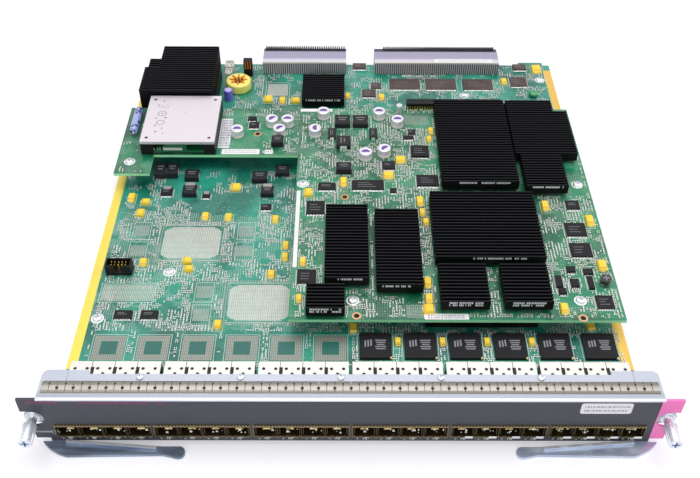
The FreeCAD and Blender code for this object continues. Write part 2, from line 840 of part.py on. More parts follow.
# ------------------------------------------------------------------ parts on the daughter board
daughter_chip_plan = [
    (-25.5, 187.5, 13.5, 14.0, 1.8), (-17.5, 211.5, 13.0, 8.0, 1.8), (13.5, 213.5, 24.0, 11.0, 1.6),
    (32.5, 207.0, 5.0, 5.0, 1.4), (-30.0, 117.0, 13.0, 13.0, 1.8), (59.0, 218.5, 16.5, 12.5, 2.0),
    (55.0, 253.5, 14.0, 13.0, 3.0), (30.0, 236.5, 10.0, 9.0, 2.2), (165.0, 191.0, 10.0, 9.0, 1.8),
    (162.5, 164.5, 15.0, 13.5, 1.8), (162.5, 143.5, 15.0, 13.5, 1.8), (169.5, 94.0, 11.5, 11.5, 1.8),
    (152.5, 111.0, 5.5, 7.0, 2.6), (163.5, 112.0, 4.0, 11.0, 2.0), (142.0, 113.0, 4.5, 10.0, 2.0),
    (143.0, 103.5, 5.0, 5.0, 2.4), (152.0, 124.0, 6.0, 5.0, 2.4), (163.5, 122.0, 6.5, 5.0, 2.4),
    (-78.0, 288.0, 8.0, 7.5, 2.0), (-80.0, 296.5, 7.0, 4.5, 2.2), (50.0, 279.0, 6.0, 6.0, 2.0),
    (47.0, 272.0, 8.0, 4.0, 2.0),
]
daughter_inductor_plan = [
    (-57.7, 265.5, 9.5, 9.5, 5.0), (-5.2, 264.5, 11.0, 12.0, 4.5), (-4.8, 232.0, 12.0, 9.0, 5.0),
    (-6.0, 292.5, 12.5, 12.5, 4.5), (8.6, 292.5, 12.5, 12.5, 4.5), (-14.4, 277.0, 6.0, 12.0, 2.8),
    (18.8, 277.0, 6.0, 12.0, 2.8),
]
daughter_tantalum_plan = [
    (-31.5, 204.5, 7.0, 7.0), (-5.0, 216.5, 5.0, 11.0), (29.5, 224.5, 8.0, 8.5), (39.5, 243.5, 7.5, 8.5),
    (52.0, 194.5, 5.0, 11.0), (53.0, 182.0, 4.0, 8.0), (55.0, 172.0, 4.5, 7.0), (-33.0, 131.0, 4.0, 8.0),
    (-34.5, 96.5, 4.0, 7.0), (52.5, 111.5, 5.0, 10.0), (52.5, 96.5, 5.0, 9.0), (51.5, 87.5, 8.0, 7.0),
    (144.5, 190.0, 5.0, 11.0), (174.5, 174.0, 5.5, 12.0), (174.5, 128.0, 6.0, 11.0),
    (141.5, 88.0, 5.0, 10.0), (65.5, 280.5, 4.0, 8.0), (63.5, 270.0, 4.0, 7.0),
]
can_places = [
    (-90.7, 276.7), (-63.6, 290.5), (-50.8, 290.5), (-56.9, 277.9), (-21.7, 301.3), (-28.1, 277.7),
    (24.1, 301.3), (38.8, 290.5), (12.2, 247.7), (27.0, 252.1),
]
can_radius = 4.8
can_height = 7.0
can_base_half = 4.9
can_base_height = 1.4
can_base_corner = 1.6
ball_place = (173.5, 112.5)
ball_radius = 4.0
ball_height = 5.5
ground_post_place = (40.6, 303.0)
ground_post_radius = 1.8
ground_post_head_radius = 2.6
ground_post_height = 11.0
ground_post_head = 1.5
axial_place = (daughter_left_edge + 8.0, 291.0)
axial_radius = 3.4
axial_length = 30.0
axial_lead = 0.9
axial_lead_reach = 3.0
axial_lead_root = 0.5        # how far each lead is carried into the body


def daughter_tantalums():
    return [block(x, y, w, d, daughter_top, tantalum_height) for x, y, w, d in daughter_tantalum_plan]


def ball_inductor():
    return prism(ball_place[0], ball_place[1], ball_radius, can_sides, daughter_top, ball_height)


def ground_post():
    x, y = ground_post_place
    head_z = daughter_top + ground_post_height - ground_post_head
    return joined([prism(x, y, ground_post_radius, head_sides, daughter_top, ground_post_height),
                   prism(x, y, ground_post_head_radius, head_sides, head_z, ground_post_head)])


def can_bases():
    bases = []
    for x, y in can_places:
        h = can_base_half
        c = can_base_corner
        outline = [(x - h + c, y - h), (x + h - c, y - h), (x + h, y - h + c), (x + h, y + h),
                   (x - h, y + h), (x - h, y - h + c)]
        bases.append(plate(outline, daughter_top, can_base_height))
    return bases


def cans():
    height = can_height - can_base_height
    return [prism(x, y, can_radius, can_sides, daughter_top + can_base_height, height)
            for x, y in can_places]


def axial_leg(end):
    """One lead, of square wire: straight out of the body's end and down to the board."""
    x, y = axial_place
    middle = daughter_top + axial_radius
    half = axial_lead / 2
    root = y + end * (axial_length / 2 - axial_lead_root)
    tip = y + end * (axial_length / 2 + axial_lead_reach)
    inside = tip - end * axial_lead
    run = box(x - half, x + half, min(root, tip), max(root, tip), middle - half, middle + half)
    leg = box(x - half, x + half, min(inside, tip), max(inside, tip), daughter_top, middle)
    return joined([run, leg])


def axial_capacitor():
    """A film capacitor lying along the board's edge, on its two bent leads."""
    x, y = axial_place
    half = axial_length / 2
    body = sleeve(x, daughter_top + axial_radius, can_sides,
                  [(y - half, axial_radius), (y + half, axial_radius)])
    return joined([body, axial_leg(-1), axial_leg(1)])


# ------------------------------------------------------------------ power brick
brick_x = (-164.0, -105.8)
brick_y = (250.8, 312.4)
brick_height = 12.7
brick_plate = 2.4
brick_foot = 1.0
brick_board_rise = 2.4
brick_board_thickness = 1.4
brick_block_left = 10.0
brick_block_right = 9.0
brick_hole_inset = (4.6, 5.4)
brick_hole_radius = 1.4
brick_core_x = (-145.5, -128.0)
brick_core_depth = 48.0
brick_core_inset = 1.0
brick_pin = 1.6
brick_pin_inset = 2.0        # from an end block to the pins' axis
brick_pin_shares = (0.12, 0.5, 0.88)


def brick_plate_piece():
    left, right = brick_x
    front, rear = brick_y
    high = daughter_top + brick_height
    piece = box(left, right, front, rear, high - brick_plate, high)
    inset_x, inset_y = brick_hole_inset
    holes = [prism(x, y, brick_hole_radius, head_sides, high - brick_plate - 1, brick_plate + 2)
             for x in (left + inset_x, right - inset_x) for y in (front + inset_y, rear - inset_y)]
    return piece.cut(holes)


def brick_blocks():
    """The moulded end blocks that carry the baseplate."""
    left, right = brick_x
    front, rear = brick_y
    low = daughter_top
    high = daughter_top + brick_height - brick_plate
    return [box(left, left + brick_block_left, front, rear, low, high),
            box(right - brick_block_right, right, front, rear, low, high)]


def brick_board():
    left, right = brick_x
    front, rear = brick_y
    low = daughter_top + brick_board_rise
    return box(left + brick_block_left, right - brick_block_right, front, rear, low,
               low + brick_board_thickness)


def brick_core():
    front = brick_y[0] + brick_core_inset
    low = daughter_top + brick_board_rise + brick_board_thickness
    return box(brick_core_x[0], brick_core_x[1], front, front + brick_core_depth, low,
               daughter_top + brick_height - brick_plate)


def brick_pins():
    left, right = brick_x
    front, rear = brick_y
    inner_left = left + brick_block_left + brick_pin_inset
    inner_right = right - brick_block_right - brick_pin_inset
    ys = [front + (rear - front) * share for share in brick_pin_shares]
    return [block(x, y, brick_pin, brick_pin, daughter_top, brick_board_rise)
            for x in (inner_left, inner_right) for y in ys]


# ------------------------------------------------------------------ ejector levers
# Points of the left lever, measured from its pivot
lever_tip = (72.2, -14.1)
lever_tip_radius = 3.9
lever_tip_shoulder = (1.5, 0.3)
lever_outer = (-10.8, -6.6)
lever_outer_middle = (-2.6, -13.7)
lever_bend = (5.4, -16.8)
lever_waist = (63.0, -15.8)
lever_waist_rear = (62.0, -10.2)
lever_root_y = -6.5
lever_rib_start = (3.5, -6.5)
lever_rib_end = (59.0, -11.1)
lever_neck_overlap = 3.0
lever_jaw = [(-2.7, 4.2), (-13.0, 5.0), (-13.0, 1.6), (-2.7, -1.0)]


def left_lever():
    """A cast lever: a curved plate, a stiffening rib, a pivot boss and the jaw that pries."""
    pivot_x = -lever_pivot_x

    def at(point):
        return Vector(pivot_x + point[0], lever_pivot_y + point[1], lever_bottom)

    tip_x, tip_y = lever_tip
    shoulder_x, shoulder_y = lever_tip_shoulder
    tip_front = at((tip_x - shoulder_x, tip_y - lever_tip_radius + shoulder_y))
    tip_rear = at((tip_x, tip_y + lever_tip_radius))
    root = at((lever_boss_radius, lever_root_y))
    edges = [
        Part.Arc(at(lever_outer), at(lever_outer_middle), at(lever_bend)).toShape(),
        Part.makeLine(at(lever_bend), at(lever_waist)),
        Part.makeLine(at(lever_waist), tip_front),
        Part.Arc(tip_front, at((tip_x + lever_tip_radius, tip_y)), tip_rear).toShape(),
        Part.makeLine(tip_rear, at(lever_waist_rear)),
        Part.makeLine(at(lever_waist_rear), root),
        Part.makeLine(root, at(lever_outer)),
    ]
    arm = Part.Face(Part.Wire(edges)).extrude(Vector(0, 0, lever_plate))
    boss = prism(pivot_x, lever_pivot_y, lever_boss_radius, sleeve_sides, lever_bottom, lever_plate)
    neck_front = lever_pivot_y + lever_root_y - lever_neck_overlap
    neck = box(pivot_x - lever_boss_radius, pivot_x + lever_boss_radius, neck_front, lever_pivot_y,
               lever_bottom, lever_top)
    jaw = plate([(pivot_x + x, lever_pivot_y + y) for x, y in lever_jaw], lever_bottom, lever_plate)
    start_x, start_y = lever_rib_start
    end_x, end_y = lever_rib_end
    ridge = [(start_x, start_y), (start_x, start_y - lever_rib_width), (end_x, end_y - lever_rib_width),
             (end_x, end_y)]
    rib = plate([(pivot_x + x, lever_pivot_y + y) for x, y in ridge], lever_top, lever_rib_height)
    lever = joined([arm, boss, neck, jaw, rib])
    bore = post(pivot_x, lever_pivot_y, lever_pin_radius + lever_bore_clearance, lever_bottom - 1,
                lever_plate + 2)
    seat = prism(pivot_x, lever_pivot_y, lever_pin_head_radius + lever_head_clearance, sleeve_sides,
                 lever_bottom - 1, 1 + lever_pin_head_height + lever_head_clearance)
    return lever.cut([bore, seat])


def left_lever_pin():
    """A shouldered rivet: one head in the lever's counterbore, the other on the rail's flange."""
    low = lever_bottom + lever_gap
    flange_top = rail_bottom_gap + rail_sheet
    x = -lever_pivot_x
    return joined([prism(x, lever_pivot_y, lever_pin_head_radius, sleeve_sides, low,
                         lever_pin_head_height),
                   post(x, lever_pivot_y, lever_pin_radius, low, flange_top - low),
                   prism(x, lever_pivot_y, lever_pin_head_radius, sleeve_sides, flange_top,
                         lever_pin_head_height)])


# ------------------------------------------------------------------ captive screws
def knob_screw(x):
    """Knob and threaded shank in one piece, with a skirt that hides the spring."""
    skirt_inner = ferrule_barrel_radius + slip_gap
    groove = screw_radius - clip_groove_depth
    clip_front = rail_back + clip_gap
    groove_front = clip_front - clip_groove_play
    groove_rear = clip_front + clip_thickness + clip_groove_play
    shank = joined([
        sleeve(x, screw_z, sleeve_sides, [(knob_floor - 1, screw_radius), (groove_front, screw_radius)]),
        sleeve(x, screw_z, sleeve_sides, [(groove_front, groove), (groove_rear, groove)]),
        turned(x, screw_z, [
            (groove_rear, 0), (groove_rear, screw_radius), (screw_tip - screw_tip_chamfer, screw_radius),
            (screw_tip, screw_radius - screw_tip_chamfer), (screw_tip, 0),
        ]),
    ])
    knob = sleeve(x, screw_z, knob_sides, [(knob_front, knob_radius - knob_rim),
                                           (knob_front + knob_rim, knob_radius),
                                           (knob_rear, knob_radius)])
    hollow = sleeve(x, screw_z, knob_sides, [(knob_floor, skirt_inner), (knob_rear + 1, skirt_inner)])
    half = knob_recess_length / 2
    wide = knob_recess_width / 2
    rear = knob_front + knob_recess_depth
    recess = joined([box(x - half, x + half, knob_front - 1, rear, screw_z - wide, screw_z + wide),
                     box(x - wide, x + wide, knob_front - 1, rear, screw_z - half, screw_z + half)])
    return joined([knob.cut([hollow, recess]), shank])


def ferrule(x):
    """The flanged sleeve pressed into the rail's ear, which guides the screw."""
    bore = screw_radius + slip_gap
    flange_front = panel_thickness - ferrule_flange
    lengths = [(ferrule_front, flange_front, ferrule_barrel_radius),
               (flange_front, panel_thickness, ferrule_flange_radius),
               (panel_thickness, rail_back, ferrule_tail_radius)]
    body = joined([sleeve(x, screw_z, sleeve_sides, [(y0, radius), (y1, radius)])
                   for y0, y1, radius in lengths])
    return body.cut(sleeve(x, screw_z, sleeve_sides, [(ferrule_front - 1, bore), (rail_back + 1, bore)]))


def retaining_clip(x):
    """An open snap ring in the screw's groove, behind the ear."""
    front = rail_back + clip_gap
    rear = front + clip_thickness
    bore = screw_radius - clip_groove_depth + clip_bore_clearance
    outside = sleeve(x, screw_z, sleeve_sides, [(front, clip_radius), (rear, clip_radius)])
    washer = outside.cut(sleeve(x, screw_z, sleeve_sides, [(front - 1, bore), (rear + 1, bore)]))
    mouth = box(x - bore, x + bore, front - 1, rear + 1, screw_z - clip_radius - 1, screw_z)
    return washer.cut(mouth)


def coil_spring(x):
    """A coil of square wire in short straight lengths, between the ferrule and the knob's floor."""
    inner = screw_radius + slip_gap
    outer = inner + spring_wire
    start = ferrule_front - spring_end_gap
    length = start - spring_wire - (knob_floor + spring_end_gap)
    count = int(spring_turns * spring_steps)
    sections = []
    for i in range(count + 1):
        angle = 2 * math.pi * i / spring_steps
        y = start - length * i / count
        section = []
        for radius, back in ((inner, 0), (outer, 0), (outer, spring_wire), (inner, spring_wire)):
            section.append(Vector(x + radius * math.cos(angle), y - back,
                                  screw_z + radius * math.sin(angle)))
        sections.append(section)
    faces = [triangle(sections[0][0], sections[0][1], sections[0][2]),
             triangle(sections[0][0], sections[0][2], sections[0][3]),
             triangle(sections[-1][0], sections[-1][1], sections[-1][2]),
             triangle(sections[-1][0], sections[-1][2], sections[-1][3])]
    for near, far in zip(sections, sections[1:]):
        for j in range(4):
            k = (j + 1) % 4
            faces.append(triangle(near[j], near[k], far[k]))
            faces.append(triangle(near[j], far[k], far[j]))
    solid = Part.Solid(Part.Shell(faces))
    if solid.Volume < 0:
        solid.reverse()
    return solid


def triangle(a, b, c):
    return Part.Face(Part.makePolygon([a, b, c, a]))


# ------------------------------------------------------------------ write the nodes
save("front_panel", front_panel())
save("carrier_rail", carrier_rail())
save("finger_strip", finger_strip())
save("rail_screws", rail_screws())
for number, cage_x in enumerate(cage_centres(), start=1):
    save("port_cage_%d" % number, cage(cage_x))
save("cage_collars", [cage_collar(x) for x in cage_centres()])
save("port_sockets", port_sockets())

save("main_board", main_board())
save("daughter_board", daughter_board())
save("standoffs", standoffs() + [ground_post()])
save("board_screws", main_board_screws() + daughter_board_screws())
save("stack_connector", stack_connector())

save("phy_chips", phy_chips())
save("logic_chips", blocks(main_chip_plan, board_top) + memory_chips()
     + blocks(daughter_chip_plan, daughter_top))
save("inductors", blocks(main_inductor_plan, board_top) + blocks(daughter_inductor_plan, daughter_top)
     + [ball_inductor()])
save("tantalum_capacitors", main_tantalums() + daughter_tantalums())
save("can_capacitors", can_bases() + cans())
save("leaded_capacitors", [bulk_capacitor(), disc_capacitor()])
save("axial_capacitor", axial_capacitor())
save("choke_core", choke_core())
save("choke_winding", choke_winding())

save("pin_header", header_shroud())
save("contact_pins", header_contacts() + brick_pins())
save("rear_block", rear_block())
save("white_connectors", blocks(white_part_plan, board_top))
save("backplane_wafers_left", connector_wafers(left_connector_x))
save("backplane_wafers_right", connector_wafers(right_connector_x))
save("backplane_shell_left", connector_shell(left_connector_x, left_teeth_x))
save("backplane_shell_right", connector_shell(right_connector_x, right_teeth_x))

save("sink_packages", sink_packages())
for name, plan in daughter_sinks.items():
    save(name, sink_on_chip(*plan, daughter_top))
save("sink_stepped", stepped_sink())
save("hub_sink", sink_on_chip(*hub_sink_plan, board_top))
save("under_sink", finned_sink(*under_sink_plan, board_top + chip_height, under_sink_top))
save("rear_power_module", rear_module())
save("rear_sink", rear_sink())

save("brick_plate", brick_plate_piece())
save("brick_blocks", brick_blocks())
save("brick_board", [brick_board(), brick_core()])

save("lever_left", left_lever())
save("lever_right", mirrored(left_lever()))
save("lever_pins", [left_lever_pin(), mirrored(left_lever_pin())])
for side_name, side_x in (("left", -screw_x), ("right", screw_x)):
    save("captive_screw_" + side_name, knob_screw(side_x))
    save("retaining_clip_" + side_name, retaining_clip(side_x))
    save("screw_spring_" + side_name, coil_spring(side_x))
save("ferrules", [ferrule(-screw_x), ferrule(screw_x)])
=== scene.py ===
# %% [markdown]
# # Dressing a switch line card
# The card is a long circuit board behind a painted front panel. The frame brings in every piece at its
# real size and place. This lesson gives each piece its finish, and adds what is too small or too fine
# for the frame: solder pads, chip legs, hundreds of tiny resistors, knurls, screw heads and labels.

# %% Load the card
import math
import random

import bmesh
import bpy
from mathutils import Matrix, Vector


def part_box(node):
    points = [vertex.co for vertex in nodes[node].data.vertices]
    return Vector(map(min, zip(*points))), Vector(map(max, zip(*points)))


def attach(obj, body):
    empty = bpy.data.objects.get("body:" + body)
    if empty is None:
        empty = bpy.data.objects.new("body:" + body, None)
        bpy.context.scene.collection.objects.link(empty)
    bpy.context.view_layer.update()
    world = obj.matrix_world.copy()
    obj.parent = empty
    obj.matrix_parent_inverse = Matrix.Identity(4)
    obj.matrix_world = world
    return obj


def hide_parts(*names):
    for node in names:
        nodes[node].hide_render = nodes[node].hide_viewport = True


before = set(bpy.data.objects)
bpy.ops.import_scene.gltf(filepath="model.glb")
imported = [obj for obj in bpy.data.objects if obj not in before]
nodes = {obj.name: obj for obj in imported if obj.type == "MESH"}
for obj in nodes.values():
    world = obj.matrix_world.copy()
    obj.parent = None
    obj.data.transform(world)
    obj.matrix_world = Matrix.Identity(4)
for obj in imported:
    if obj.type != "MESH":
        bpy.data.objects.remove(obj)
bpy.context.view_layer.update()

scene = bpy.context.scene
print("pieces in the frame:", len(nodes))

# %% [markdown]
# ## A drawing to measure from
# Places are easiest to read in millimetres, measured as on the card's own drawing: across from the
# middle, back from the panel's front face, and up from the panel's bottom edge. One function turns such
# a place into the frame's metres. The heights of the two boards come from the frame itself.

# %% Measures
MM = 0.001
panel_low, panel_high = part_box("front_panel")


def at(x, y, z):
    """A place on the drawing, in the frame's metres."""
    return Vector((x * MM, panel_low[1] + y * MM, panel_low[2] + z * MM))


def drawn(point):
    """A place in the frame, back on the drawing."""
    return Vector((point[0] / MM, (point[1] - panel_low[1]) / MM, (point[2] - panel_low[2]) / MM))


def drawn_box(node):
    low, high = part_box(node)
    return drawn(low), drawn(high)


def middle_of(low, high):
    """The middle of a box's foot."""
    return (low.x + high.x) / 2, (low.y + high.y) / 2, low.z

main_top = drawn_box("main_board")[1].z
upper_top = drawn_box("daughter_board")[1].z
panel_half = drawn_box("front_panel")[1].x
print("board tops: %.1f and %.1f mm" % (main_top, upper_top))

# %% [markdown]
# ## Colours and nodes
# A material's colours are written as hex values, as a paint chart would give them, and one function
# turns them into the linear values that the renderer adds up. A second small function adds any shader
# node with its settings and its links, so that each material reads as a short recipe.


# %% Colour and node helpers
def linear(hex_colour):
    channels = [int(hex_colour[i:i + 2], 16) / 255 for i in (1, 3, 5)]
    return [c / 12.92 if c <= 0.04045 else ((c + 0.055) / 1.055) ** 2.4 for c in channels] + [1.0]


def add_node(tree, kind, inputs=None, **settings):
    """Adds one node. Each input is given a value, or is linked when it is given a socket."""
    node = tree.nodes.new(kind)
    for name, value in settings.items():
        setattr(node, name, value)
    for name, value in (inputs or {}).items():
        named = [s for s in node.inputs if s.name == name and s.enabled]
        socket = node.inputs[name] if isinstance(name, int) else named[0]
        if isinstance(value, bpy.types.NodeSocket):
            tree.links.new(value, socket)
        else:
            socket.default_value = value
    return node


def result(node):
    """The first output in use."""
    return next(socket for socket in node.outputs if socket.enabled)


def start_material(name, colour, roughness, metallic=0.0, coat=0.0):
    material = bpy.data.materials.new(name)
    material.use_nodes = True
    tree = material.node_tree
    shader = tree.nodes["Principled BSDF"]
    shader.inputs["Base Color"].default_value = linear(colour)
    shader.inputs["Roughness"].default_value = roughness
    shader.inputs["Metallic"].default_value = metallic
    shader.inputs["Coat Weight"].default_value = coat
    place = add_node(tree, "ShaderNodeTexCoord").outputs["Object"]
    return material, tree, shader, place


def mix(tree, share, first, second):
    """A colour between two others: each is a hex value or a socket."""
    node = add_node(tree, "ShaderNodeMix", {"Factor": share}, data_type="RGBA")
    for socket, colour in ((node.inputs[6], first), (node.inputs[7], second)):
        if isinstance(colour, str):
            socket.default_value = linear(colour)
        else:
            tree.links.new(colour, socket)
    return node.outputs[2]


def calculate(tree, operation, first, second=0.0):
    return add_node(tree, "ShaderNodeMath", {0: first, 1: second}, operation=operation).outputs[0]

def product(tree, first, *others):
    """Everything multiplied. For masks of ones and zeros that means: where all of them hold."""
    for other in others:
        first = calculate(tree, "MULTIPLY", first, other)
    return first

def between(tree, value, low, high):
    """One where a value lies between two limits, and zero elsewhere."""
    above = calculate(tree, "GREATER_THAN", value, low)
    return product(tree, above, calculate(tree, "LESS_THAN", value, high))

def speckle(tree, place, size_mm, detail=3.0):
    """Noise whose patches are about this large."""
    return add_node(tree, "ShaderNodeTexNoise",
                    {"Vector": place, "Scale": 0.5 / (size_mm * MM), "Detail": detail}).outputs["Fac"]


def grained(tree, shader, place, size_mm, height_mm, low, high):
    """Fine relief from one noise, and patches of roughness from a coarser one."""
    fine = speckle(tree, place, size_mm)
    bump = add_node(tree, "ShaderNodeBump", {"Height": fine, "Distance": height_mm * MM, "Strength": 0.6})
    tree.links.new(bump.outputs["Normal"], shader.inputs["Normal"])
    coarse = speckle(tree, place, size_mm * 12)
    rough = add_node(tree, "ShaderNodeMapRange", {"Value": coarse, "To Min": low, "To Max": high})
    tree.links.new(rough.outputs[0], shader.inputs["Roughness"])


print("helpers ready")

# %% [markdown]
# ## Solder-masked circuit board
# A circuit board is glass-filled epoxy under a green solder mask. The mask is glossy and a little clear,
# so the copper under it shows as lighter lines and patches. Small tin-plated vias pierce it everywhere.
# The pattern is drawn from the object's own coordinates: parallel lines in patches for the tracks,
# cells for the vias, and a different, duller tone on the cut edge, where the glass shows.


# %% Circuit board material
def board_material(name, mask, shade, track, edge, pad_share, pads_until, sides=()):
    """Solder mask over copper. Each of the sides is a bare plated strip along an edge of the board."""
    material, tree, shader, place = start_material(name, mask, 0.32, coat=0.3)
    shader.inputs["Coat Roughness"].default_value = 0.15
    axes = add_node(tree, "ShaderNodeSeparateXYZ", {"Vector": place}).outputs
    ground = speckle(tree, place, 22.0, 2.0)
    planes = add_node(tree, "ShaderNodeMapRange", {"Value": ground, "From Min": 0.42, "From Max": 0.58})
    colour = mix(tree, planes.outputs[0], mask, shade)

    def stripes(axis, pitch, width):
        """Stripes at a pitch in mm across one axis. Their width is a share of the pitch."""
        share = calculate(tree, "FRACT", calculate(tree, "DIVIDE", axes[axis], pitch * MM))
        return calculate(tree, "LESS_THAN", share, width)

    # tracks: two directions of fine parallel lines, each only in its own patches
    for number, axis in enumerate("XY"):
        shifted = add_node(tree, "ShaderNodeMapping", {"Vector": place, "Location": (number, number, 0)})
        patch = calculate(tree, "GREATER_THAN", speckle(tree, shifted.outputs[0], 9.0, 1.0), 0.56)
        colour = mix(tree, product(tree, stripes(axis, 0.9, 0.28), patch, 0.35), colour, track)
    vias = add_node(tree, "ShaderNodeTexVoronoi", {"Vector": place, "Scale": 1 / (2.3 * MM)})
    dots = calculate(tree, "LESS_THAN", vias.outputs["Distance"], 0.17)
    some = calculate(tree, "GREATER_THAN", speckle(tree, place, 14.0, 1.0), 0.46)
    spots = product(tree, dots, some)
    colour = mix(tree, product(tree, spots, 0.75), colour, "#b9c9b8")
    # bare pads: short bars in straight rows and columns, in patches of their own
    moved = add_node(tree, "ShaderNodeMapping", {"Vector": place, "Location": (0.3, 0.2, 0)}).outputs[0]
    crowded = calculate(tree, "GREATER_THAN", speckle(tree, moved, 7.0, 2.0), 0.50)
    padded = between(tree, axes["Y"], at(0, 82, 0).y, at(0, pads_until, 0).y)
    bare = product(tree, stripes("X", 1.6, 0.55), stripes("Y", 1.27, 0.5), crowded, padded, pad_share)
    colour = mix(tree, bare, colour, "#c3cfc4")
    upright = add_node(tree, "ShaderNodeSeparateXYZ",
                       {"Vector": add_node(tree, "ShaderNodeNewGeometry").outputs["Normal"]}).outputs["Z"]
    level = calculate(tree, "GREATER_THAN", calculate(tree, "ABSOLUTE", upright), 0.5)
    colour = mix(tree, level, edge, colour)
    metal = product(tree, spots, level)
    for side, inner, outer, front, rear, plating in sides:
        across = product(tree, axes["X"], side)
        strip = product(tree, between(tree, across, at(inner, 0, 0).x, at(outer, 0, 0).x),
                        between(tree, axes["Y"], at(0, front, 0).y, at(0, rear, 0).y))
        colour = mix(tree, strip, colour, plating)
        metal = calculate(tree, "MAXIMUM", metal, product(tree, strip, 0.35))
    tree.links.new(colour, shader.inputs["Base Color"])
    tree.links.new(metal, shader.inputs["Metallic"])
    bump = add_node(tree, "ShaderNodeBump", {"Height": speckle(tree, place, 0.6), "Distance": 0.02 * MM})
    tree.links.new(bump.outputs["Normal"], shader.inputs["Normal"])
    return material

guide_strips = [(-1, 176.3, 183.0, 50.0, 394.0, "#f8df5c"), (1, 176.3, 183.0, 50.0, 394.0, "#efc257")]
main_mask = board_material("solder mask over epoxy glass, deep green", "#23967f", "#126b5b", "#78c8b5",
                           "#a3b983", 0.6, 200, guide_strips)
upper_mask = board_material("solder mask over epoxy glass, bright green", "#15845a", "#0b5b3c", "#6fc79f",
                            "#9be8b4", 0.3, 320)
print("board materials:", main_mask.name, "and", upper_mask.name)

# %% [markdown]
# ## Metals
# The rail and cages are zinc- and tin-plated sheet: bright, with a soft grain from rolling. The contact
# strip is tinned beryllium copper, a little warmer. Screws are nickel-plated, the levers are cast zinc
# under a thin dark chromate, and the power module's baseplate is brushed aluminium.


# %% Metal materials
def plated(name, colour, roughness, grain_mm=0.8, metallic=1.0, spread=0.10):
    material, tree, shader, place = start_material(name, colour, roughness, metallic)
    grained(tree, shader, place, grain_mm, 0.01, roughness - spread / 2, roughness + spread)
    return material


def brushed(name, colour, roughness, stretch=(1, 60, 60)):
    """Long scratches along X, made by squeezing the noise the other two ways."""
    material, tree, shader, place = start_material(name, colour, roughness, 0.9)
    squeezed = add_node(tree, "ShaderNodeMapping", {"Vector": place, "Scale": stretch})
    scratches = add_node(tree, "ShaderNodeTexNoise", {"Vector": squeezed.outputs[0], "Scale": 60.0,
                                                      "Detail": 4.0}).outputs["Fac"]
    bump = add_node(tree, "ShaderNodeBump", {"Height": scratches, "Distance": 0.03 * MM, "Strength": 0.5})
    tree.links.new(bump.outputs["Normal"], shader.inputs["Normal"])
    rough = add_node(tree, "ShaderNodeMapRange", {"Value": scratches, "To Min": roughness - 0.08,
                                                  "To Max": roughness + 0.14})
    tree.links.new(rough.outputs[0], shader.inputs["Roughness"])
    return material


def zinc_material():
    """Zinc-plated sheet, with painted shade on the lip and a painted highlight along the bent front edge."""
    material = brushed("zinc-plated sheet steel", "#a9adb9", 0.42)
    tree = material.node_tree
    shader = tree.nodes["Principled BSDF"]
    place = add_node(tree, "ShaderNodeTexCoord").outputs["Object"]
    back = add_node(tree, "ShaderNodeSeparateXYZ", {"Vector": place}).outputs["Y"]
    painted_edge_highlight = add_node(tree, "ShaderNodeMapRange", {"Value": back, "From Min": at(0, 1.9, 0).y,
                                                 "From Max": at(0, 1.3, 0).y})
    # painted shade darkens the lip, and a painted highlight brightens the front edge
    painted_lip_shade = calculate(tree, "LESS_THAN", back, at(0, 6.0, 0).y)
    colour = mix(tree, painted_lip_shade, "#a7abb6", "#999da8")
    colour = mix(tree, painted_edge_highlight.outputs[0], colour, "#d5d9e2")
    tree.links.new(colour, shader.inputs["Base Color"])
    return material


zinc_sheet = zinc_material()
tin_strip = plated("tinned beryllium copper", "#8b8882", 0.34, 0.6)
bronze = plated("bronze spring sheet", "#857650", 0.36, 0.5, 0.8)
tin_shade = plated("tinned beryllium copper in shade", "#8a867c", 0.5, 0.6, 0.5)
nickel = plated("nickel-plated brass", "#dcdfe6", 0.32, 0.5, 0.85)
solder_tin = plated("solder-plated copper", "#eceeec", 0.36, 0.4, 0.6)
gold_plate = plated("gold-plated contact", "#e2b450", 0.28, 0.4)
baseplate = brushed("brushed aluminium", "#dbd3d9", 0.42, (1, 40, 40))
winding_copper = plated("enamelled copper wire", "#e08a3c", 0.28, 0.3, 0.5)


def cage_material():
    """Tin-plated steel. The walls inside the ports get little light and look like dark brass."""
    material, tree, shader, place = start_material("tin-plated cage steel", "#d2d1cd", 0.38, 0.75)
    axes = add_node(tree, "ShaderNodeSeparateXYZ", {"Vector": place}).outputs
    inside = product(tree, calculate(tree, "LESS_THAN", axes["Z"], at(0, 0, 15.2).z),
                     calculate(tree, "LESS_THAN", axes["Y"], at(0, 48.4, 0).y))
    tree.links.new(mix(tree, inside, "#d2d1cd", "#4a3f28"), shader.inputs["Base Color"])
    grained(tree, shader, place, 0.8, 0.01, 0.32, 0.46)
    return material


def lever_material(name, plate, painted_streak):
    """Chromated zinc casting, with painted reflection streaks on the plate and a painted highlight along the
    rib.
    """
    material, tree, shader, place = start_material(name, plate, 0.34, 0.55)
    axes = add_node(tree, "ShaderNodeSeparateXYZ", {"Vector": place}).outputs
    # painted highlight: the rib, above the plate, turns near white
    painted_rib_highlight = add_node(tree, "ShaderNodeMapRange", {"Value": axes["Z"], "From Min": at(0, 0, 0.6).z,
                                                 "From Max": at(0, 0, 1.7).z})
    # painted reflection streaks, drawn out along X
    streaks = add_node(tree, "ShaderNodeMapping", {"Vector": place, "Scale": (0.12, 1.0, 1.0)}).outputs[0]
    cloudy = add_node(tree, "ShaderNodeMapRange", {"Value": speckle(tree, streaks, 2.2), "From Min": 0.35,
                                                   "From Max": 0.65})
    casting = mix(tree, cloudy.outputs[0], plate, painted_streak)
    colour = mix(tree, painted_rib_highlight.outputs[0], casting, "#e4e8ee")
    tree.links.new(colour, shader.inputs["Base Color"])
    grained(tree, shader, place, 1.4, 0.05, 0.2, 0.36)
    return material


cage_steel = cage_material()
# one casting painted twice: darker for the left lever, as in shade, and paler for the right one, as lit
lever_shaded = lever_material("chromated zinc casting, painted in shade", "#6c7a91", "#9dabc1")
lever_lit = lever_material("chromated zinc casting, painted as lit", "#b0bed6", "#dfe8f7")
print("metals ready")
